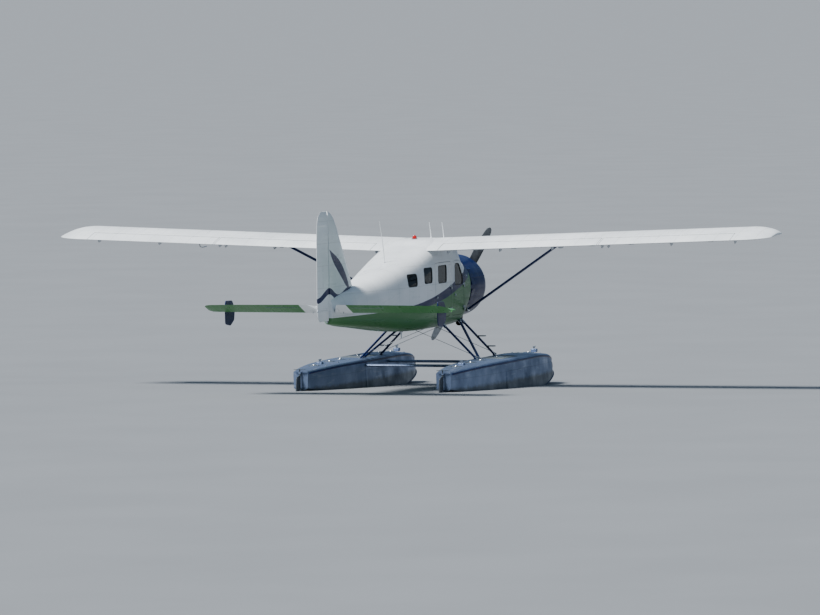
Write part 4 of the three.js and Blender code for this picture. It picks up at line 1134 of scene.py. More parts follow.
def turned_elevator(shape):
    """The shape raised about the elevator's hinge to its resting angle."""
    hinge = at(0, ELEVATOR_HINGE, TAIL_Z)
    c, s = math.cos(ELEVATOR_REST), math.sin(ELEVATOR_REST)
    return moved(moved(shape, None, -hinge), [[1, 0, 0], [0, c, -s], [0, s, c]], hinge)


def build_tailplane():
    """Fixed halves and finlets cut at the hinge, and one elevator of two halves, notched round the rudder."""
    def hinge_tube(start, end, radius, sides=32):
        return bar(at(start, ELEVATOR_HINGE, TAIL_Z), at(end, ELEVATOR_HINGE, TAIL_Z), radius, sides)
    behind, cove = box_shape((0, 3000), (ELEVATOR_HINGE, 12000), (1000, 4500)), hinge_tube(-10, 3000, 54)
    finlet = slab(densified(rounded(FINLET, 40), 60), FINLET_X - 9, FINLET_X + 9, 4)
    for side_name, side in SIDES.items():
        carved_piece(f"tailplane_skin_{side_name}", tailplane_shape(),
                     minus(behind, cove, hull_shape(8300, STERNPOST, GAP)), "green_reflection_enamel", side,
                     replaces=(f"tailplane_{side_name}",))
        carved_piece(f"finlet_plate_{side_name}", finlet, minus(behind), "navy_enamel", side,
                     replaces=(f"finlet_{side_name}",))
    ribs = [slab([(8760, z - 5), (8760, z + 5), (9140, z + 5), (9140, z - 5)], FINLET_X - 13, FINLET_X + 13, 3)
            for z in (1940, 2225)]
    pair("finlet_ribs_*", together(*ribs), "navy_enamel")
    notch = slab([(0, ELEVATOR_HINGE + 20), (140, ELEVATOR_HINGE + 20), (150, RUDDER_HINGE - 60),
                  (420, RUDDER_HINGE + 620), (0, RUDDER_HINGE + 620)], 1900, 2400, put=points_at)
    root = box_shape((-5, 120), (9000, 9900), (1500, 2800))
    beads = bpy.context.scene.floatplane_fittings.rib_bead / MM * 0.85
    nose = shape_of(carved(hinge_tube(90, 2355, 38), *within(tailplane_shape())))
    half = shape_of(carved(carved(tailplane_shape(beads), *within(behind)), ("UNION", nose), *minus(notch, root)))
    piece("elevator_skin", turned_elevator(on_both_sides(half)), "green_reflection_enamel", "elevator", replaces=("elevator",))
    tab = slab([(520, 9560), (1180, 9560), (1180, 9566), (520, 9566)], TAIL_Z - 24, TAIL_Z + 24, 1, put=points_at)
    horns = [slab([(9290, TAIL_Z), (9296, TAIL_Z + up * 72), (9310, TAIL_Z + up * 76), (9350, TAIL_Z + up * 5)],
                  300, 308, 2) for up in (1, -1)]
    fittings = together(hinge_tube(-150, 150, 22, 24), on_both_sides(together(tab, *horns)))
    piece("elevator_tube", turned_elevator(fittings), "machined_aluminium", "elevator")


def upright_rings(half, station, heights):
    """Level closed rings: half widths on the left going aft, and the same on the right coming back."""
    x, along = np.broadcast_arrays(half, station)
    return points_at(np.concatenate([x, -x[:, ::-1]], axis=1), np.concatenate([along, along[:, ::-1]], axis=1),
                     heights[:, None])


def build_fin():
    """The fin and the rudder as rings up their height: a half width by share of the chord, times the thickness."""
    heights = np.concatenate([np.linspace(2250, 3800, 60), np.linspace(3800, 4000, 16)[1:]])
    front, thick = smooth_rows(FIN, heights).T[..., None]
    back = RUDDER_HINGE - RUDDER_NOSE - 12
    share = np.array([0, 0.004, 0.012, 0.03, 0.06, 0.12, 0.22, 0.35, 0.5, 0.7, 0.85, 1])
    wide = np.array([0, 0.16, 0.3, 0.46, 0.62, 0.8, 0.94, 1, 1, 0.95, 0.9, 0.85])
    # The nose is a single point of each ring, so its second copy is left out.
    rings = upright_rings(wide * thick / 2, front + share * (back - front), heights)[:, :-1]
    carved_piece("fin_skin", loft(rings), minus(hull_shape(7500, STERNPOST, GAP)), "tail_livery_enamel",
                 replaces=("fin",))
    lugs = [part for z in RUDDER_LUGS for part in (plate(back - 60, RUDDER_HINGE + 6, 12, z, z + LUG_THICK, 3),
                                                   upright(0, RUDDER_HINGE, z, z + LUG_THICK, 14))]
    piece("fin_hinge_lugs", together(*lugs), "machined_aluminium")

    heights = np.concatenate([np.linspace(RUDDER_FOOT, 3930, 150), np.linspace(3930, 4000, 10)[1:]])
    rear, thick = smooth_rows(RUDDER, heights).T[..., None]
    share = np.linspace(0, 1, 17)
    wide = np.interp(share, [0, 0.3, 0.7, 1], [0.95, 0.9, 0.45, 0.05])
    wave = 2.5 * np.maximum(np.cos(2 * np.pi * heights / 150), 0)[:, None] ** 4 * np.clip((share - 0.08) / 0.06, 0, 1)
    x = wide * thick / 2 + wave * np.clip((0.97 - share) / 0.06, 0, 1)
    rings = upright_rings(x, RUDDER_HINGE + share * (rear - RUDDER_HINGE), heights)
    slots = [box_shape((-60, 60), (RUDDER_HINGE - 60, RUDDER_HINGE + 30), (z - GAP, z + LUG_THICK + GAP))
             for z in RUDDER_LUGS]
    post = upright(0, RUDDER_HINGE, RUDDER_FOOT, 3930, RUDDER_NOSE, 32)
    carved_piece("rudder_skin", loft(rings), [("UNION", post), *minus(*slots)], "tail_livery_enamel", body="rudder",
                 replaces=("rudder",))
    tab = slab([(9700, 2480), (9706, 2480), (9706, 3000), (9700, 3000)], -30, 30, 1)
    piece("rudder_tab_hinge", tab, "machined_aluminium", "rudder")
    piece("tail_light", block(at(0, 9955, 2140), (34, 40, 60), 2.5), "clear_lens", "rudder")


# Floats

FLOAT_X, STEP, FLOAT_STERN, WATER_RUDDER_HINGE = 1450, 3960, 6760, 6812
# Hull sections: station, keel z, chine z, half beam at the chine, half deck, deck z
FOREBODY = np.array([[0, 470, 500, 70, 50, 590], [60, 380, 480, 130, 105, 650], [220, 240, 440, 225, 190, 715],
                     [550, 115, 370, 320, 285, 785], [1100, 25, 280, 395, 360, 850], [1700, 0, 210, 425, 390, 880],
                     [STEP, 0, 170, 430, 395, 885]])
AFTERBODY = np.array([[STEP + 2, 85, 215, 415, 395, 885], [5200, 165, 300, 355, 340, 875],
                      [6200, 290, 400, 240, 240, 845], [FLOAT_STERN, 390, 480, 140, 150, 815]])
# The keel's half width, the gunwale's height and roll, the deck's camber, and where the bow's rings start
KEEL_HALF, GUNWALE, ROLL, DECK_CAMBER, BOW_START = 26, 60, 40, 16, 34
CLEAT_STATIONS = (760, 5600)
FRONT_FRAME, REAR_FRAME, FOOT_X = 2580, 3835, 1250


def hull_rows(stations):
    """Keel, chine, half beam, half deck and deck height, smooth in front of the step and behind it apart."""
    rows = np.where((stations <= STEP)[:, None], smooth_rows(FOREBODY, stations), smooth_rows(AFTERBODY, stations))
    keel, chine, beam, deck, top = rows.T
    return keel, chine, beam, deck, np.maximum(top, chine + GUNWALE + 20)


def float_shape(grow=0.0):
    """Hull rings of 40 points: flat keel, hollow bottom, sharp chine, flared side, rolled gunwale, cambered deck."""
    bow = BOW_START + (600 - BOW_START) * (1 - np.cos(np.linspace(0, np.pi / 2, 16)))
    stations = np.concatenate([bow[:-1], np.linspace(600, STEP, 34), [STEP + 2], np.linspace(4100, FLOAT_STERN, 24)])
    keel, chine, beam, deck, top = [v[:, None] for v in hull_rows(stations)]
    s = np.linspace(0, 1, 9)[None, :]
    bottom_x = KEEL_HALF + (beam - KEEL_HALF) * s
    bottom_z = keel + (chine - keel) * (0.62 / 0.55 * s - 0.13 * s**2) / (0.62 / 0.55 - 0.13)
    u = np.linspace(0, 1, 6)[None, 1:]
    side_x, side_z = beam + (deck - beam) * u, chine + (top - GUNWALE - chine) * u
    a = np.linspace(0, np.pi / 2, 6)[None, 1:]
    roll_x, roll_z = deck - ROLL + ROLL * np.cos(a), top - GUNWALE + GUNWALE * np.sin(a)
    d = np.linspace(1, 0, 7)[None, 1:-1]
    deck_x, deck_z = (deck - ROLL) * d, top + DECK_CAMBER * (1 - d**2)
    x = np.concatenate([bottom_x + grow, side_x + grow, roll_x + grow, deck_x], axis=1)
    z = np.concatenate([bottom_z - grow, side_z, roll_z + grow, deck_z + grow], axis=1)
    x, z = np.concatenate([x, -x[:, ::-1]], axis=1), np.concatenate([z, z[:, ::-1]], axis=1)
    return loft(points_at(FLOAT_X + x, stations[:, None], z))


def along_hull(stations, which):
    """A line along the hull's outer side: the chine or the gunwale, as x off the middle and z."""
    _, chine, beam, deck, top = hull_rows(stations)
    return (beam, chine) if which == "chine" else (deck + 2, top - GUNWALE + 8)


def deck_z(station, x=0.0):
    """The deck's height at a station, x off the float's middle."""
    _, _, _, deck, top = hull_rows(np.array([float(station)]))
    share = min(abs(x) / (deck[0] - ROLL), 1)
    return top[0] + DECK_CAMBER * (1 - share**2)


def build_floats():
    """Each float's hull with its rudder brackets and cleat pads, then its rails, fittings, walkway and bumper."""
    arms = [part for z in (455, 760)
            for part in (plate(FLOAT_STERN - 40, WATER_RUDDER_HINGE + 16, 20, z, z + 24, 4, FLOAT_X),
                         upright(FLOAT_X, WATER_RUDDER_HINGE, z, z + 24, 20))]
    pads = [block(at(FLOAT_X, s, 890), (120, 120, 70), 9, 32, 16) for s in CLEAT_STATIONS]
    pair("float_*_skin", float_shape(), "float_aluminium", sharp=28, replaces=("float_*",))
    pair("float_*_pads", together(*arms, *pads), "float_aluminium")
    pair("float_*_rails", float_rails(), "navy_enamel")
    pair("float_*_deck_fittings", deck_fittings(), "machined_aluminium")
    pair("float_*_walkway", walkway(), "deck_grit")
    pair("float_*_bumper", bow_bumper(), "rubber")
    pair("water_rudder_*_blade", water_rudder(), "dark_enamel", "water_rudder_*", replaces=("water_rudder_*",))


def float_rails():
    """A dark edge strip along each gunwale and a spray rail along each chine ahead of the step."""
    made = []
    for flip in (1, -1):
        for run, which, out, up, wide, tall in ((np.linspace(120, 6700, 60), "gunwale", 0, 0, 8, 20),
                                                (np.linspace(160, STEP - 30, 40), "chine", 4, -2, 15, 7)):
            x, z = along_hull(run, which)
            made.append(sweep(points_at(FLOAT_X + flip * (x + out), run, z + up), wide, tall, 10))
    run = np.linspace(420, STEP - 10, 40)
    made.append(sweep(points_at(FLOAT_X, run, hull_rows(run)[0] + 9), KEEL_HALF * 0.9, 8.5, 10))
    return together(*made)


def deck_fittings():
    """Round hatch covers with knobs, pump-out plugs, horn cleats on their pads and a deck eye at the bow."""
    made = []
    cover = [(0, -6), (112, -6), (112, 4), (104, 9), (40, 11), (34, 20), (0, 22)]
    for station in (1150, 1900, 3250, 4350, 5000, 5950):
        made.append(lathe(cover, at(FLOAT_X, station, deck_z(station))))
    plug = [(0, -4), (22, -4), (20, 9), (9, 13), (0, 13)]
    for station in np.arange(900, 6500, 700):
        deck = hull_rows(np.array([float(station)]))[3][0]
        made.append(lathe(plug, at(FLOAT_X - min(200, deck - 70), station, deck_z(station, 200)), segments=16))
    spread = np.linspace(-1, 1, 15)
    girth = 15 - 7 * spread**2
    for station in CLEAT_STATIONS:
        made.append(sweep(points_at(FLOAT_X, station + 95 * spread, 962 + 9 * spread**2), girth, girth * 0.8))
        made += [upright(FLOAT_X, station + s, 922, 962, 10, 12) for s in (-32, 32)]
    eye = np.linspace(0, 2 * np.pi, 24, endpoint=False)
    ring = points_at(FLOAT_X, 330 + 30 * np.cos(eye), deck_z(330) + 26 + 30 * np.sin(eye))
    return together(*made, hoop(ring, 7, 8))


def walkway():
    """A gritted strip on the deck between the struts, 4 mm proud and bent to the deck's camber."""
    stations, across = np.linspace(2700, 3760, 30), np.linspace(-250, 250, 21)
    z = np.array([[deck_z(s, a) for a in across] for s in stations])
    upper, lower = [points_at(FLOAT_X + across, stations[:, None], z + lift) for lift in (4, -6)]
    return loft(np.concatenate([upper, lower[:, ::-1]], axis=1))


def bow_bumper():
    """A rubber nose wrapped round the bow: the bow's own section swollen and drawn out to a blunt end."""
    stations = np.array([0, 3, 12, 28, 50, 80, 115, 150, 180.0])
    swell = np.array([0.55, 0.80, 0.98, 1.07, 1.10, 1.08, 1.06, 1.03, 0.95])[:, None]
    keel, _, beam, _, top = [v[:, None] for v in hull_rows(stations)]
    t = np.linspace(0, 2 * np.pi, 28, endpoint=False)[None, :]
    x = (beam * 0.99 + 6) * swell * signed_power(np.cos(t), 0.75)
    z = keel * 0.4 + top * 0.6 + (top - keel) * 0.44 * swell * signed_power(np.sin(t), 0.75)
    return loft(points_at(FLOAT_X + x, stations[:, None], z))


def water_rudder():
    """The blade on its post, with a tiller arm, its retracting eye and stiffening beads."""
    hinge = WATER_RUDDER_HINGE
    outline = densified(rounded([(hinge + 22, 735), (7010, 700), (7060, 330), (6990, 250), (hinge + 40, 290)], 30), 60)
    blade = slab(outline, FLOAT_X - 9, FLOAT_X + 9, 5)
    web = slab([(hinge, 500), (hinge + 70, 500), (hinge + 70, 720), (hinge, 720)], FLOAT_X - 11, FLOAT_X + 11, 2)
    beads = [bar(at(FLOAT_X, hinge + 60 + lean, z), at(FLOAT_X, 7010, z - 16), 13, 10)
             for z, lean in ((640, 0), (540, 6), (440, 12))]
    tiller = level_slab([(hinge - 8, -120), (hinge + 16, -120), (hinge + 34, 0), (hinge + 16, 120), (hinge - 8, 120)],
                        842, 850, 2, FLOAT_X)
    return together(blade, upright(FLOAT_X, hinge, 479.4, 759.6, 16), web, *beads, tiller,
                    upright(FLOAT_X, hinge, 740, 858, 11, 16))


def build_float_struts():
    """Streamlined struts with forged feet, two spreader bars, and the rigid tie rods that brace each bay."""
    rows = [("front_float_strut", FRONT_FRAME, 470, FRONT_FRAME + 30, 1640),
            ("rear_float_strut", REAR_FRAME, 470, REAR_FRAME, 1620),
            ("diagonal_float_strut", REAR_FRAME - 110, 480, FRONT_FRAME + 140, 1640)]
    hull, belly = float_shape(GAP), hull_shape(2300, 5000, GAP)
    feet, steps = [], []
    for name, foot, x, s, z in rows:
        low, high = at(FOOT_X, foot, 840), at(x, s, z)
        unit = (high - low) / np.linalg.norm(high - low)
        pair(f"{name}_*_skin", shape_of(carved(strut_bar(low, high, 92, 40), *minus(hull, belly))), "navy_enamel",
             replaces=(f"{name}_*",))
        feet += [bar(low + unit * 0.03, low + unit * 0.13, 32, 20),
                 block(low + unit * 0.035, (110, 150, 34), 4, 28, 12),
                 bar(high - unit * 0.16, high - unit * 0.05, 30, 20)]
        if name == "front_float_strut":
            steps += [block(low + (high - low) * share + [0.09, 0, 0], (200, 110, 22), 5) for share in (0.3, 0.55)]
    pair("strut_feet_*", together(*feet), "machined_aluminium")
    pair("boarding_steps_*", together(*steps), "deck_grit")
    for name, s in (("front_spreader_bar", FRONT_FRAME - 90), ("rear_spreader_bar", REAR_FRAME + 90)):
        carved_piece(f"{name}_skin", strut_bar(at(-1300, s, 760), at(1300, s, 760), 96, 54),
                     minus(hull, mirrored(hull)), "float_aluminium", replaces=(name,))
    made, thick = [], bpy.context.scene.floatplane_fittings.brace_rod / 2 / MM
    for station, height in ((FRONT_FRAME + 20, 1640), (REAR_FRAME - 10, 1620)):
        for side in SIDES.values():
            a, b = at(side * 1230, station, 930), at(side * -470, station, height)
            unit = (b - a) / np.linalg.norm(b - a)
            made += [bar(a, b, thick, 8), bar(a, a + unit * 0.12, thick * 1.8, 10),
                     bar(b - unit * 0.12, b, thick * 1.8, 10)]
    piece("brace_rods", together(*made), "stainless_steel")


# Nose: cowl, engine and propeller

COWL_FRONT, COWL_RADIUS, THRUST_LINE = 1160, 620, 2230
COWL_DEPTH = FIREWALL - COWL_FRONT - GAP
# The cowl's outside: distance behind its front edge, and radius
COWL_SIDE = np.array([[60, 586], [140, 612], [260, COWL_RADIUS], [620, COWL_RADIUS], [COWL_DEPTH, 596]])
ENGINE_STATION, CYLINDERS, FIN_COUNT = 1520, 9, 22
PROPELLER_STATION, PROPELLER_RADIUS, PROPELLER_TILT = 990, 1295, math.radians(29)
# Propeller blade: radius, chord, thickness, twist in degrees
BLADE = np.array([[60, 90, 90, 60], [180, 96, 84, 58], [330, 150, 46, 46], [600, 190, 28, 33], [900, 180, 18, 24],
                  [1150, 140, 11, 19], [1260, 90, 8, 17], [PROPELLER_RADIUS, 30, 5, 17]])
AFT = (0, 1, 0)


def build_cowl():
    """A turned ring with a rolled lip and a slight flare at the back, cut by seams, with latches and cooling gills."""
    lip, run = np.linspace(0.15, 1.35, 14) * np.pi, np.linspace(60, COWL_DEPTH, 24)
    rolled = np.stack([538 - 34 * np.cos(lip), 38 - 38 * np.sin(lip)], axis=-1)[::-1]
    inside = [(580, COWL_DEPTH), (604, 620), (604, 260), (572, 90), (540, 70)]
    profile = np.vstack([np.stack([smooth_rows(COWL_SIDE, run)[:, 0], run], axis=-1), inside, rolled])
    piece("cowl_skin", lathe_ring(profile, at(0, COWL_FRONT, THRUST_LINE), AFT, 96), "navy_enamel",
          replaces=("engine_cowl",))

    def on_cowl(angle, radius, station):
        return points_at(math.cos(angle) * radius, station, THRUST_LINE + math.sin(angle) * radius)
    trims = []
    for a in np.radians((18, 90, 162, 270)):
        run = np.linspace(70, COWL_DEPTH - 40, 16)
        trims.append(sweep(on_cowl(a, smooth_rows(COWL_SIDE, run)[:, 0] + 1, COWL_FRONT + run), 16, 3, 8,
                           up=(math.cos(a), 0, math.sin(a))))
        trims += [block(on_cowl(a, radius, COWL_FRONT + back), (26, 74, 14), 4, 20, 10, turn_about_y(a))
                  for back, radius in ((200, COWL_RADIUS + 1), (460, COWL_RADIUS + 1), (760, 611))]
    trims += [block(on_cowl(a, 605, FIREWALL - 150), (240, 210, 9), 6, 24, 10, turn_about_y(a))
              for a in np.radians(range(15, 360, 30))]
    piece("cowl_straps", together(*trims), "navy_enamel")


def turn_about_y(angle):
    """Takes +X to the tangent and +Z to the outward direction at an angle round the thrust line."""
    c, s = math.cos(angle), math.sin(angle)
    return np.array([[-s, 0, c], [0, 1, 0], [c, 0, s]])


def build_engine():
    """A crankcase with nine finned cylinders round it, push rods, ignition leads, rocker covers and the exhaust."""
    back, front = COWL_DEPTH + COWL_FRONT - ENGINE_STATION, PROPELLER_STATION + 70 + GAP - ENGINE_STATION
    centre = at(0, ENGINE_STATION, THRUST_LINE)

    def star(angle, radius, station):
        return centre + np.array([radius * math.cos(angle), station, radius * math.sin(angle)]) * MM
    cases = [(0, front), (45, front), (45, -330), (70, -322), (112, -300), (150, -252), (182, -200),
             (190, -130), (214, -122), (250, -110), (262, -60), (262, 60), (250, 110), (300, 140), (300, 200),
             (200, 300), (180, 520), (420, back - 20), (420, back), (0, back)]
    bolts = [bar(star(a, 196, -138), star(a, 196, -118), 8, 8) for a in np.radians(range(10, 370, 20))]
    piece("crankcase", together(lathe(cases, centre, AFT, 72), *bolts), "cast_aluminium", sharp=38,
          replaces=("engine",))
    fins, rods, heads = [], [], []
    h = 215 + np.arange(FIN_COUNT) * 10.5
    fin = [np.stack([radius + 0 * h, h + lift], -1) for radius, lift in ((66, -3.2), (94, -2), (94, 2), (66, 3.2))]
    barrel = np.vstack([[(0, 200)], np.stack(fin, axis=1).reshape(-1, 2),
                        [(98, 455), (100, 492), (88, 520), (72, 552), (50, 566), (0, 568)]])
    for k in range(CYLINDERS):
        a = math.pi / 2 + 2 * math.pi * k / CYLINDERS
        turn = turn_about_y(a)
        fins.append(lathe(barrel, centre, (math.cos(a), 0, math.sin(a)), 32))
        for lean in (-46, 46):
            foot, head, cover = centre + np.array([[lean * 0.7, -128, 236], [lean, -96, 520],
                                                   [lean * 1.12, -70, 532]]) @ turn.T * MM
            lead = np.array([[lean * 0.2, -170, 216], [lean * 0.35, -188, 300], [lean * 0.6, -176, 420],
                             [lean * 0.75, -112, 486]])
            rods += [bar(foot, head, 9), sweep(centre + polyline(lead, 16) @ turn.T * MM, 5, 5, 8,
                                               up=turn @ np.array([1, 0.1, 0]))]
            heads.append(block(cover, (46, 96, 52), 3.2, 20, 12, turn))
    ring = np.linspace(0, 2 * np.pi, 72, endpoint=False)
    harness = centre + np.stack([216 * np.cos(ring), 0 * ring - 170, 216 * np.sin(ring)], axis=-1) * MM
    piece("cylinder_barrels", together(*fins), "finned_steel", sharp=50)
    piece("pushrods_and_harness", together(*rods, hoop(harness, 14, 12, AFT)), "machined_aluminium",
          slot="engine_metal")
    piece("rocker_covers", together(*heads), "cast_aluminium")
    pipe = points_at([-330, -355, -380, -398, -410], [2120, 2210, 2300, 2390, 2470], [1760, 1690, 1620, 1566, 1530])
    radius = np.array([60, 60, 60, 60, 62])
    bore = sweep(pipe[2:] + (pipe[-1] - pipe[-2]) * 0.1, radius[2:] - 6, radius[2:] - 6, 32)
    carved_piece("exhaust_pipe", sweep(pipe, radius, radius, 32), minus(bore), "exhaust_steel")


def build_propeller():
    """Two twisted blades of smooth sections, a hub barrel with clamps and bolts, and the pitch dome ahead of it."""
    radii = np.concatenate([np.linspace(60, 1150, 60), np.linspace(1150, PROPELLER_RADIUS, 22)[1:]])
    chord, thick, twist = smooth_rows(BLADE, radii).T
    t = np.linspace(0, 2 * np.pi, 40, endpoint=False)[None, :]
    c, h = np.cos(t) * chord[:, None] / 2, np.sin(t) * thick[:, None] / 2 * (1 - 0.25 * np.cos(t))
    a = np.radians(twist)[:, None]
    blade = loft(np.stack([c * np.cos(a) - h * np.sin(a), c * np.sin(a) + h * np.cos(a),
                           radii[:, None] + 0 * t], axis=-1) * MM)
    c, s = math.cos(PROPELLER_TILT), math.sin(-PROPELLER_TILT)
    tilt, place = np.array([[c, 0, s], [0, 1, 0], [-s, 0, c]]), at(0, PROPELLER_STATION, THRUST_LINE)
    blades = together(blade, moved(blade, np.diag([-1, 1, -1])))
    piece("propeller_blades", moved(blades, tilt, place), "propeller_enamel", "propeller", replaces=("propeller",))
    run = np.linspace(-220, -72, 16)
    dome = smooth_rows(np.array([[-220, 0], [-212, 40], [-196, 70], [-150, 88], [-70, 90]]), run)[:, 0]
    hub = np.vstack([np.stack([dome, run], -1), [(110, -60), (118, -40), (118, 40), (110, 62), (60, 70), (0, 70)]])
    clamp = [(46, 96), (66, 96), (70, 104), (70, 150), (66, 158), (46, 158)]
    parts = [lathe(hub, (0, 0, 0), AFT, 48)]
    for z in (1, -1):
        parts.append(lathe_ring(clamp, (0, 0, 0), (0, 0, z), 40))
        for x in (-66, 66):
            parts.append(bar(np.array([x, -30, z * 127]) * MM, np.array([x, 30, z * 127]) * MM, 9, 10))
            parts.append(block(np.array([x * 1.1, 0, z * 127]) * MM, (34, 56, 44), 4, 20, 10))
    for angle in np.radians(range(0, 360, 45)):
        spot = np.array([0.1 * math.cos(angle), -0.072, 0.1 * math.sin(angle)])
        parts.append(bar(spot, spot + [0, 0.02, 0], 8, 6))
    piece("propeller_hub", moved(together(*parts), tilt, place), "machined_aluminium", "propeller",
          slot="propeller_metal")


# Cabin

# Seats: name, x, station of the back, width, depth, sewn channels
SEATS = [("pilot_seat", 290, 3500, 430, 430, 3), ("copilot_seat", -290, 3500, 430, 430, 3),
         ("rear_bench", 0, 4720, 1020, 440, 7)]
SEAT_FLOOR, HEM = 1640, 0.86


def in_quad(quad, v, w):
    """Stations and heights inside a side-view quad: v runs from its first edge to its opposite, w through its depth."""
    a, b, c, d = [np.array(corner, float) for corner in quad]
    v, w = (v[..., None] + 1) / 2, (w[..., None] + 1) / 2
    low, high = a + (b - a) * w, d + (c - d) * w
    return np.moveaxis(low + (high - low) * v, -1, 0)


def cushion(x, width, quad, channels):
    """A crowned closed form: rounded rings from edge to edge, pulled in between corners, dented by sewn channels."""
    v = np.sin(np.linspace(-np.pi / 2, np.pi / 2, 44))[:, None]
    t = np.linspace(0, 2 * np.pi, 40 * channels + 60, endpoint=False)[None, :]
    across, deep = signed_power(np.cos(t), 0.35), signed_power(np.sin(t), 0.62)
    close = (1 - np.minimum(np.abs(v), 0.9999) ** 5) ** 0.25
    side = across * (0.93 + 0.05 * v**2 + 0.02 * close) * (0.35 + 0.65 * np.minimum(close * 2, 1))
    crown = 0.80 + 0.17 * (1 - across**2) * (1 - v**2)
    grooves = sum(np.exp(-((across - c) * width / 2 / 9) ** 2) for c in np.linspace(-1, 1, channels + 1)[1:-1])
    hem = np.exp(-((np.abs(v) - HEM) / 0.03) ** 2)
    depth = deep * close * (crown - 0.13 * np.clip(grooves, 0, 1) * (np.abs(v) < HEM) - 0.05 * hem)
    station, z = in_quad(quad, v * (0.97 + 0.02 * across**2) + 0 * t, depth)
    return loft(points_at(x + side * width / 2, station, z))


def piping(x, width, quad, depth):
    """A welt sewn round a cushion near one face."""
    outline = densified(rounded([(-0.95, -0.95), (0.95, -0.95), (0.95, 0.95), (-0.95, 0.95)], 0.16), 0.12)
    station, z = in_quad(quad, outline[:, 1], depth + 0 * outline[:, 0])
    return hoop(points_at(x + outline[:, 0] * width / 2, station, z), 5, 8, out=(0, -0.4, 1))


def build_seats():
    """Sewn leather cushions on bent tube frames that stand on floor rails."""
    for name, x, back, width, depth, channels in SEATS:
        front, half = back - depth, width / 2 - 110
        pad = [(front, 1872), (front, 1958), (back + 28, 1978), (back + 28, 1872)]
        rest = [(back + 68, 1915), (back - 26, 1915), (back + 62, 2496), (back + 146, 2488)]
        piece(f"{name}_cushion", cushion(x, width - 6, pad, channels), "seat_leather", replaces=(name,))
        piece(f"{name}_backrest", cushion(x, width - 6, rest, channels), "seat_leather")
        welts = [piping(x, width - 6, quad, 0.72) for quad in (pad, rest)]
        piece(f"{name}_piping", together(*welts), "wrinkle_enamel")
        tubes = []
        for leg in (x - half, x + half):
            legs = points_at(leg, [front + 70, front + 74, front + 110, back - 60, back - 14, back - 6],
                             [1652, 1800, 1856, 1860, 1820, 1652])
            post = points_at(leg, [back - 20, back + 40, back + 66, back + 150], [1862, 1880, 1960, 2470])
            tubes += [sweep(polyline(legs, 31), 12, 12, up=(1, 0.01, 0.01)),
                      sweep(points_at(leg, np.linspace(front + 40, back + 18, 8), 1646), 17, 5.4, 10),
                      sweep(post, 10, 10, 10, up=(1, 0.01, 0.01))]
        tubes += [bar(at(x - half, station, z), at(x + half, station, z), 11)
                  for station, z in ((front + 112, 1857), (back - 62, 1860))]
        piece(f"{name}_frame", together(*tubes), "machined_aluminium")


# The panel's side outline, the direction its aft face looks, and the dials: height, x of each, radius
PANEL = [(2602, 2252), (2602, 2698), (2788, 2658), (2758, 2252)]
PANEL_OUT = np.array([0, 1, -30 / 406])
DIAL_ROWS = [(2575, (-400, -305, -210, 210, 305, 400), 38), (2475, (-400, -305, -210, 210, 305, 400), 38),
             (2380, (-390, 390), 26)]


def panel_face(x, z, proud=0.0):
    """A point on the panel's aft face, which leans with its side outline."""
    (head, top), (foot, low) = PANEL[2:]
    return at(x, foot + (head - foot) * (z - low) / (top - low) + proud, z)


def build_dials():
    """Rows of dials: a bezel ring, a face, twelve marks and a pointer whose angle follows from the dial's place."""
    bezels, faces, marks = [], [], []
    turn = frame_along(PANEL_OUT)

    def ray(angle):
        return turn @ np.array([math.cos(angle), math.sin(angle), 0])
    for x, z, radius in [(x, z, radius) for z, columns, radius in DIAL_ROWS for x in columns]:
        spot = panel_face(x, z)
        rim = [(radius, -2), (radius + 6, -2), (radius + 6, 5), (radius + 1, 7), (radius, 5)]
        bezels.append(lathe_ring(rim, spot, PANEL_OUT, 32))
        faces.append(lathe([(0, -1), (radius, -1), (radius, 1.5), (0, 1.5)], spot, PANEL_OUT, 32))
        face, raised = spot + turn[:, 2] * 2 * MM, spot + turn[:, 2] * 2.6 * MM
        marks += [bar(face + ray(a) * (radius - 8) * MM, face + ray(a) * (radius - 3) * MM, 0.9, 6)
                  for a in 2 * math.pi * np.arange(12) / 12]
        pointer = ray((x * 0.013 + z * 0.021) % (2 * math.pi))
        marks.append(bar(raised, raised + pointer * (radius - 9) * MM, 1.2, 6))
    return bezels, faces, marks


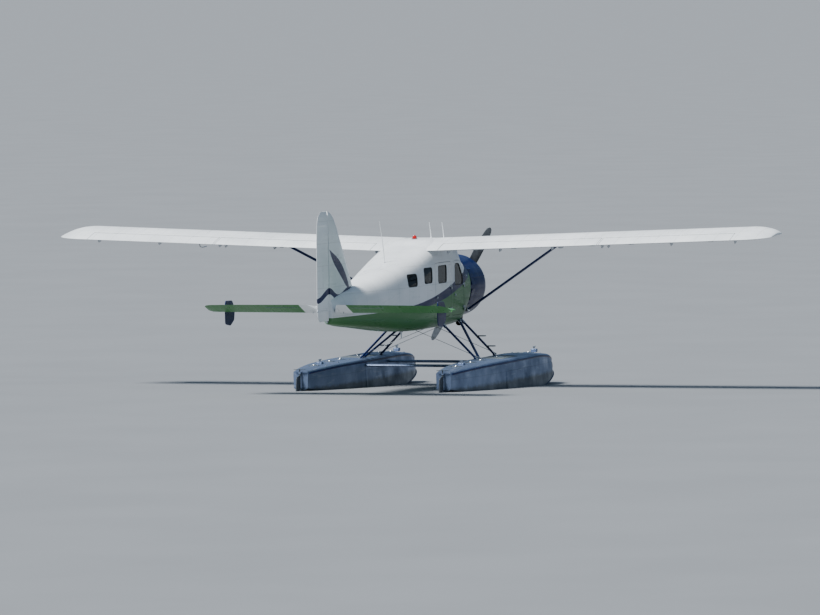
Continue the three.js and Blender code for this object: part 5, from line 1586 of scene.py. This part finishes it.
def build_instrument_panel():
    """A crackle-finished panel with plain dials, a radio stack, levers, a glare shield, two yokes and pedals."""
    body = slab(densified(rounded(PANEL, 16), 60), -518, 518, 5)
    roll = sweep(points_at(np.linspace(-512, 512, 30), 2782, 2672), 17, 14, 14)
    piece("panel_body", together(body, roll), "wrinkle_enamel", replaces=("instrument_panel",))
    bezels, faces, marks = build_dials()
    for z in (2600, 2545, 2490, 2435):
        bezels.append(block(panel_face(0, z, 8), (190, 26, 46), 9, 28))
        marks += [lathe([(0, 0), (9, 0), (8, 14), (0, 15)], panel_face(x, z, 20), PANEL_OUT, 16) for x in (-72, 72)]
    for x, lift in ((-60, 30), (0, 46), (60, 12)):
        bezels += [bar(panel_face(x, 2350), panel_face(x, 2350 + lift, 110), 5, 10),
                   block(panel_face(x, 2350 + lift, 120), (30, 26, 34), 2.6, 20)]
    piece("dial_bezels", together(*bezels), "wrinkle_enamel")
    piece("dial_faces", together(*faces), "dial_face")
    piece("dial_marks", together(*marks), "dial_mark")
    wheels, pedals = [], []
    t = np.linspace(math.radians(-50), math.radians(230), 40)
    rim = np.stack([0.165 * np.cos(t), 0.02 + 0 * t, 0.125 * np.sin(t)], axis=-1)
    for x in (-290, 290):
        hub = at(x, 2950, 2330)
        wheels += [bar(panel_face(x, 2330), hub, 13, 16), sweep(hub + rim, 13, 11, up=(0, 1, 0)),
                   block(hub, (78, 40, 64), 3.2, 24, 14)]
        wheels += [bar(hub, hub + [s * 0.16, 0.02, 0.01], 9) for s in (-1, 1)]
        for foot in (x - 85, x + 85):
            pedals += [block(at(foot, 2700, 1790), (90, 22, 130), turn=frame_along((0, 0.3, 1))),
                       bar(at(foot, 2690, 1745), at(foot, 2660, 1665), 8, 10)]
    piece("control_wheels", together(*wheels), "wrinkle_enamel")
    piece("rudder_pedals", together(*pedals), "machined_aluminium")


# Fittings on the airframe

BEACON_STATION, MAST_STATION = 3990, 4900


def roof_z(station):
    """The highest point of the fuselage section at a station."""
    return smooth_rows(FUSELAGE, float(station))[2]


def whip(x, station, top, thick):
    """A tapered rod aerial on a streamlined foot, raked aft."""
    foot = roof_z(station) - 4
    share = np.linspace(0, 1, 14)
    path = points_at(x, station + (top - foot) * 0.35 * share**1.4, foot + (top - foot) * share)
    girth = np.linspace(thick, thick * 0.4, 14)
    base = block(at(x, station + 6, foot + 8), (34, 90, 34), 2.6)
    return together(sweep(path, girth, girth, 10, up=(1, 0, 0)), base)


def build_airframe_fittings():
    """Roof aerials, the roof beacon, a belly drain mast and the door grab rails."""
    thick = bpy.context.scene.floatplane_fittings.aerial_rod / MM
    rods = [whip(*place, thick) for place in ((0, 5900, 3690), (-350, 3190, 3560), (-120, 3300, 3560))]
    piece("roof_aerials", together(*rods), "white_wing_enamel")
    lens = np.array([(0, -8), (52, -8), (52, 4), (48, 34), (36, 58), (18, 70), (0, 72)]) * 0.9
    foot = [(0, -16), (66, -16), (66, 6), (56, 12), (0, 12)]
    top = roof_z(BEACON_STATION)
    piece("roof_beacon_base", lathe(foot, at(0, BEACON_STATION, top)), "machined_aluminium")
    piece("roof_beacon_lens", lathe(lens, at(0, BEACON_STATION, top + 12)), "red_lens")
    belly = smooth_rows(FUSELAGE, float(MAST_STATION))[1]
    mast = [(0, -152), (9, -150), (13, -120), (16, 0), (0, 0)]
    piece("belly_drain_mast", lathe(mast, at(0, MAST_STATION, belly + 4), segments=20), "machined_aluminium")
    x = float(skin_x(np.array([2690.0]), np.array([2480.0]))[0])
    rails = [sweep(points_at(side * (x + np.array([-4, 34, 40, 34, -4])), np.array([2640, 2646, 2690, 2734, 2740]),
                             2480 + np.array([0, 6, 8, 6, 0])), 7, 7, 10) for side in SIDES.values()]
    piece("grab_rails", together(*rails), "machined_aluminium")


# Sizes and colours a user would change, operators, panel

def paint(name, description, colour):
    """A colour property; its default is an sRGB hex colour."""
    return FloatVectorProperty(name=name, description=description, subtype="COLOR", size=4, default=linear(colour))


def length(name, description, default, **limits):
    """A property that is a length in metres."""
    return FloatProperty(name=name, description=description, subtype="DISTANCE", unit="LENGTH", default=default,
                         **limits)


def angle(name, description, degrees):
    """A property that is an angle; its default is given in degrees."""
    return FloatProperty(name=name, description=description, subtype="ANGLE", default=math.radians(degrees))


class LiveryColours(bpy.types.PropertyGroup):
    """Paint and trim colours, linear; the greens and the float metals hold painted reflection of the water."""
    white: paint("White", "Upper fuselage, fin and wing enamel", "eceff0")
    white_worn: paint("Worn white", "Chalked and dirty white enamel", "c2c8ca")
    # The green and its faded tone are painted reflection of the turquoise water's light on white enamel.
    green: paint("Green", "Lower fuselage and tailplane enamel", "457d47")
    green_worn: paint("Worn green", "Faded green enamel", "577f54")
    navy: paint("Navy", "Stripe, cowl, struts and finlets enamel", "0b1d4c")
    navy_worn: paint("Worn navy", "Faded navy enamel", "142551")
    # Both float colours are tinted blue as painted reflection of the water on bare metal.
    float_metal: paint("Float metal", "Aluminium sheet of the floats", "7788a6")
    float_oxide: paint("Float oxide", "Weathered float aluminium", "56657f")
    leather: paint("Leather", "Seat hide", "4a4038")


class FittingSizes(bpy.types.PropertyGroup):
    """Sizes of the small fittings that only the dressed aircraft has."""
    brace_rod: length("Brace rod", "Diameter of the tie rods between the float struts", 0.010, min=0.004, max=0.03)
    aerial_rod: length("Aerial rod", "Radius of a roof aerial at its foot", 0.010, min=0.002, max=0.02)
    rib_bead: length("Rib bead", "Height of the pressed ridges on flaps, ailerons and elevator", 0.003, min=0,
                     max=0.006)


class StageSizes(bpy.types.PropertyGroup):
    """The camera's place, the floor's height and the light."""
    azimuth: angle("Azimuth", "Camera heading round the aircraft", 198.0)
    elevation: angle("Elevation", "Camera angle above the floor", 2.85)
    distance: length("Distance", "Camera distance", 130.0)
    lens: FloatProperty(name="Lens", description="Focal length in millimetres", default=292.0, min=20, max=900)
    floor_height: length("Floor height", "Height of the floor above the keels, under the wing", 0.33)
    trim: angle("Trim", "How far the aircraft sits nose up on its floats", 2.1)
    light: FloatProperty(name="Light", description="Strength of the key light", default=8.0, min=0)


# Camera, floor and light, in metres; the floor's edge, and the middle and half length of its rise
CAMERA_AIM = np.array([-0.15, -0.2, 1.95])
FLOOR_HALF, RAMP_MIDDLE, RAMP_HALF, FLOOR_LINES = 4000.0, -1.0, 6.5, 161
FLOOR_GREY, FLOOR_SHADE = (0.205, 0.215, 0.225, 1), (0.193, 0.203, 0.213, 1)
EVEN_COLOUR, EVEN_STRENGTH = (0.45, 0.66, 0.95, 1), 0.36
# Lamps: name, azimuth and elevation in degrees, share of the key light's strength, apparent width in degrees
LAMPS = [("key", 150, 52, 1.0, 16), ("fill", 235, 24, 0.02, 20)]


def view_direction(azimuth, elevation):
    """A unit vector towards the camera: azimuth turns from the nose side round to the left."""
    return np.array([math.sin(azimuth) * math.cos(elevation), -math.cos(azimuth) * math.cos(elevation),
                     math.sin(elevation)])


def build_camera(sizes):
    """A long lens at a distance from the aim, rolled so that the aircraft's nose-up trim shows in the picture."""
    towards = view_direction(sizes.azimuth, sizes.elevation)
    data = bpy.data.cameras.new("photo_camera")
    data.lens, data.sensor_width, data.clip_end = sizes.lens, 36.0, 6000.0
    camera = in_scene("photo_camera", data)
    camera.location = CAMERA_AIM + towards * sizes.distance
    right = np.cross([0, -math.sin(sizes.trim), math.cos(sizes.trim)], towards)
    right /= np.linalg.norm(right)
    axes = np.stack([right, np.cross(towards, right), towards], axis=1)
    camera.rotation_euler = Matrix(axes.tolist()).to_euler()
    bpy.context.scene.camera = camera


def build_stage(sizes):
    """A pale floor that the hulls reach through, a wide soft key light, a fill, and even light from all round.

    The aircraft sits nose up on its floats, so the floor rises towards the tail by the trim angle where the floats
    stand in it, and levels out beyond them as a hyperbolic tangent does.
    """
    build_camera(sizes)
    edge = np.sinh(np.linspace(-8, 8, FLOOR_LINES)) / math.sinh(8) * FLOOR_HALF
    x, y = np.meshgrid(edge, edge, indexing="ij")
    rise = math.tan(sizes.trim) * RAMP_HALF * np.tanh((y - RAMP_MIDDLE) / RAMP_HALF)
    points = np.stack([x, y, sizes.floor_height + rise], axis=-1).reshape(-1, 3)
    mesh = new_mesh("floor", (points, [grid_faces(FLOOR_LINES, FLOOR_LINES, wrap=False)]))
    mesh.polygons.foreach_set("use_smooth", np.ones(len(mesh.polygons), bool))
    shader, where = surface("pale_floor", FLOOR_GREY, 0.0, 0.8)
    shaded(shader, FLOOR_GREY, FLOOR_SHADE, speckle(shader, where, 3000))
    mesh.materials.append(MATERIALS["pale_floor"])
    in_scene("floor", mesh)
    world = bpy.context.scene.world or bpy.data.worlds.new("even_light")
    bpy.context.scene.world = world
    world.use_nodes = True
    background = world.node_tree.nodes["Background"]
    background.inputs["Color"].default_value = EVEN_COLOUR
    background.inputs["Strength"].default_value = EVEN_STRENGTH
    for name, azimuth, elevation, share, width in LAMPS:
        data = bpy.data.lights.new(name, "SUN")
        data.energy, data.angle = share * sizes.light, math.radians(width)
        towards = Vector(view_direction(math.radians(azimuth), math.radians(elevation)))
        in_scene(name, data).rotation_euler = towards.to_track_quat("Z", "Y").to_euler()


class FLOATPLANE_OT_finishes(bpy.types.Operator):
    """Make every paint, metal, rubber, hide and glass finish"""
    bl_idname = "floatplane.finishes"
    bl_label = "Finishes"

    def execute(self, context):
        make_materials(context.scene.floatplane_colours)
        return {"FINISHED"}


class FLOATPLANE_OT_stage(bpy.types.Operator):
    """Set the camera, the pale floor and the soft light"""
    bl_idname = "floatplane.stage"
    bl_label = "Stage"

    def execute(self, context):
        build_stage(context.scene.floatplane_stage)
        return {"FINISHED"}


class FLOATPLANE_OT_fuselage(bpy.types.Operator):
    """Build the nose, cabin walls, doors, windows, windshield and rear fuselage"""
    bl_idname = "floatplane.fuselage"
    bl_label = "Fuselage"

    def execute(self, context):
        build_fuselage()
        return {"FINISHED"}


class FLOATPLANE_OT_wings(bpy.types.Operator):
    """Build the wings, flaps, ailerons, wing struts and their fittings"""
    bl_idname = "floatplane.wings"
    bl_label = "Wings"

    def execute(self, context):
        build_wings()
        return {"FINISHED"}


class FLOATPLANE_OT_tail(bpy.types.Operator):
    """Build the tailplane, elevator, finlets, fin and rudder"""
    bl_idname = "floatplane.tail"
    bl_label = "Tail"

    def execute(self, context):
        build_tailplane()
        build_fin()
        return {"FINISHED"}


class FLOATPLANE_OT_floats(bpy.types.Operator):
    """Build the floats, water rudders, float struts and brace rods"""
    bl_idname = "floatplane.floats"
    bl_label = "Floats"

    def execute(self, context):
        build_floats()
        build_float_struts()
        return {"FINISHED"}


class FLOATPLANE_OT_engine(bpy.types.Operator):
    """Build the cowl, the radial engine and the propeller"""
    bl_idname = "floatplane.engine"
    bl_label = "Engine"

    def execute(self, context):
        build_cowl()
        build_engine()
        build_propeller()
        return {"FINISHED"}


class FLOATPLANE_OT_cabin(bpy.types.Operator):
    """Build the seats and the instrument panel"""
    bl_idname = "floatplane.cabin"
    bl_label = "Cabin"

    def execute(self, context):
        build_seats()
        build_instrument_panel()
        return {"FINISHED"}


class FLOATPLANE_OT_fittings(bpy.types.Operator):
    """Build the aerials, beacon, drain mast and grab rails"""
    bl_idname = "floatplane.fittings"
    bl_label = "Fittings"

    def execute(self, context):
        build_airframe_fittings()
        return {"FINISHED"}


OPERATORS = [FLOATPLANE_OT_finishes, FLOATPLANE_OT_stage, FLOATPLANE_OT_fuselage, FLOATPLANE_OT_wings,
             FLOATPLANE_OT_tail, FLOATPLANE_OT_floats, FLOATPLANE_OT_engine, FLOATPLANE_OT_cabin,
             FLOATPLANE_OT_fittings]


class FLOATPLANE_PT_panel(bpy.types.Panel):
    """Lists the colours, the stage's sizes and a button for each group of pieces."""
    bl_idname = "FLOATPLANE_PT_panel"
    bl_label = "Floatplane"
    bl_space_type = "VIEW_3D"
    bl_region_type = "UI"
    bl_category = "Floatplane"

    def draw(self, context):
        for group in (context.scene.floatplane_colours, context.scene.floatplane_fittings,
                      context.scene.floatplane_stage):
            for name in group.__annotations__:
                self.layout.prop(group, name)
        for kind in OPERATORS:
            self.layout.operator(kind.bl_idname)


CLASSES = [LiveryColours, FittingSizes, StageSizes, *OPERATORS, FLOATPLANE_PT_panel]


def register():
    """Registers the classes and hangs each group of values on the scene."""
    for kind in CLASSES:
        bpy.utils.register_class(kind)
    bpy.types.Scene.floatplane_colours = PointerProperty(type=LiveryColours)
    bpy.types.Scene.floatplane_fittings = PointerProperty(type=FittingSizes)
    bpy.types.Scene.floatplane_stage = PointerProperty(type=StageSizes)


def unregister():
    """Takes back what register did, in the opposite order."""
    del bpy.types.Scene.floatplane_colours, bpy.types.Scene.floatplane_fittings, bpy.types.Scene.floatplane_stage
    for kind in reversed(CLASSES):
        bpy.utils.unregister_class(kind)


def main():
    """Registers the classes and calls each operator in order."""
    register()
    for kind in OPERATORS:
        getattr(bpy.ops.floatplane, kind.bl_idname.split(".")[1])()


if __name__ == "__main__":
    main()
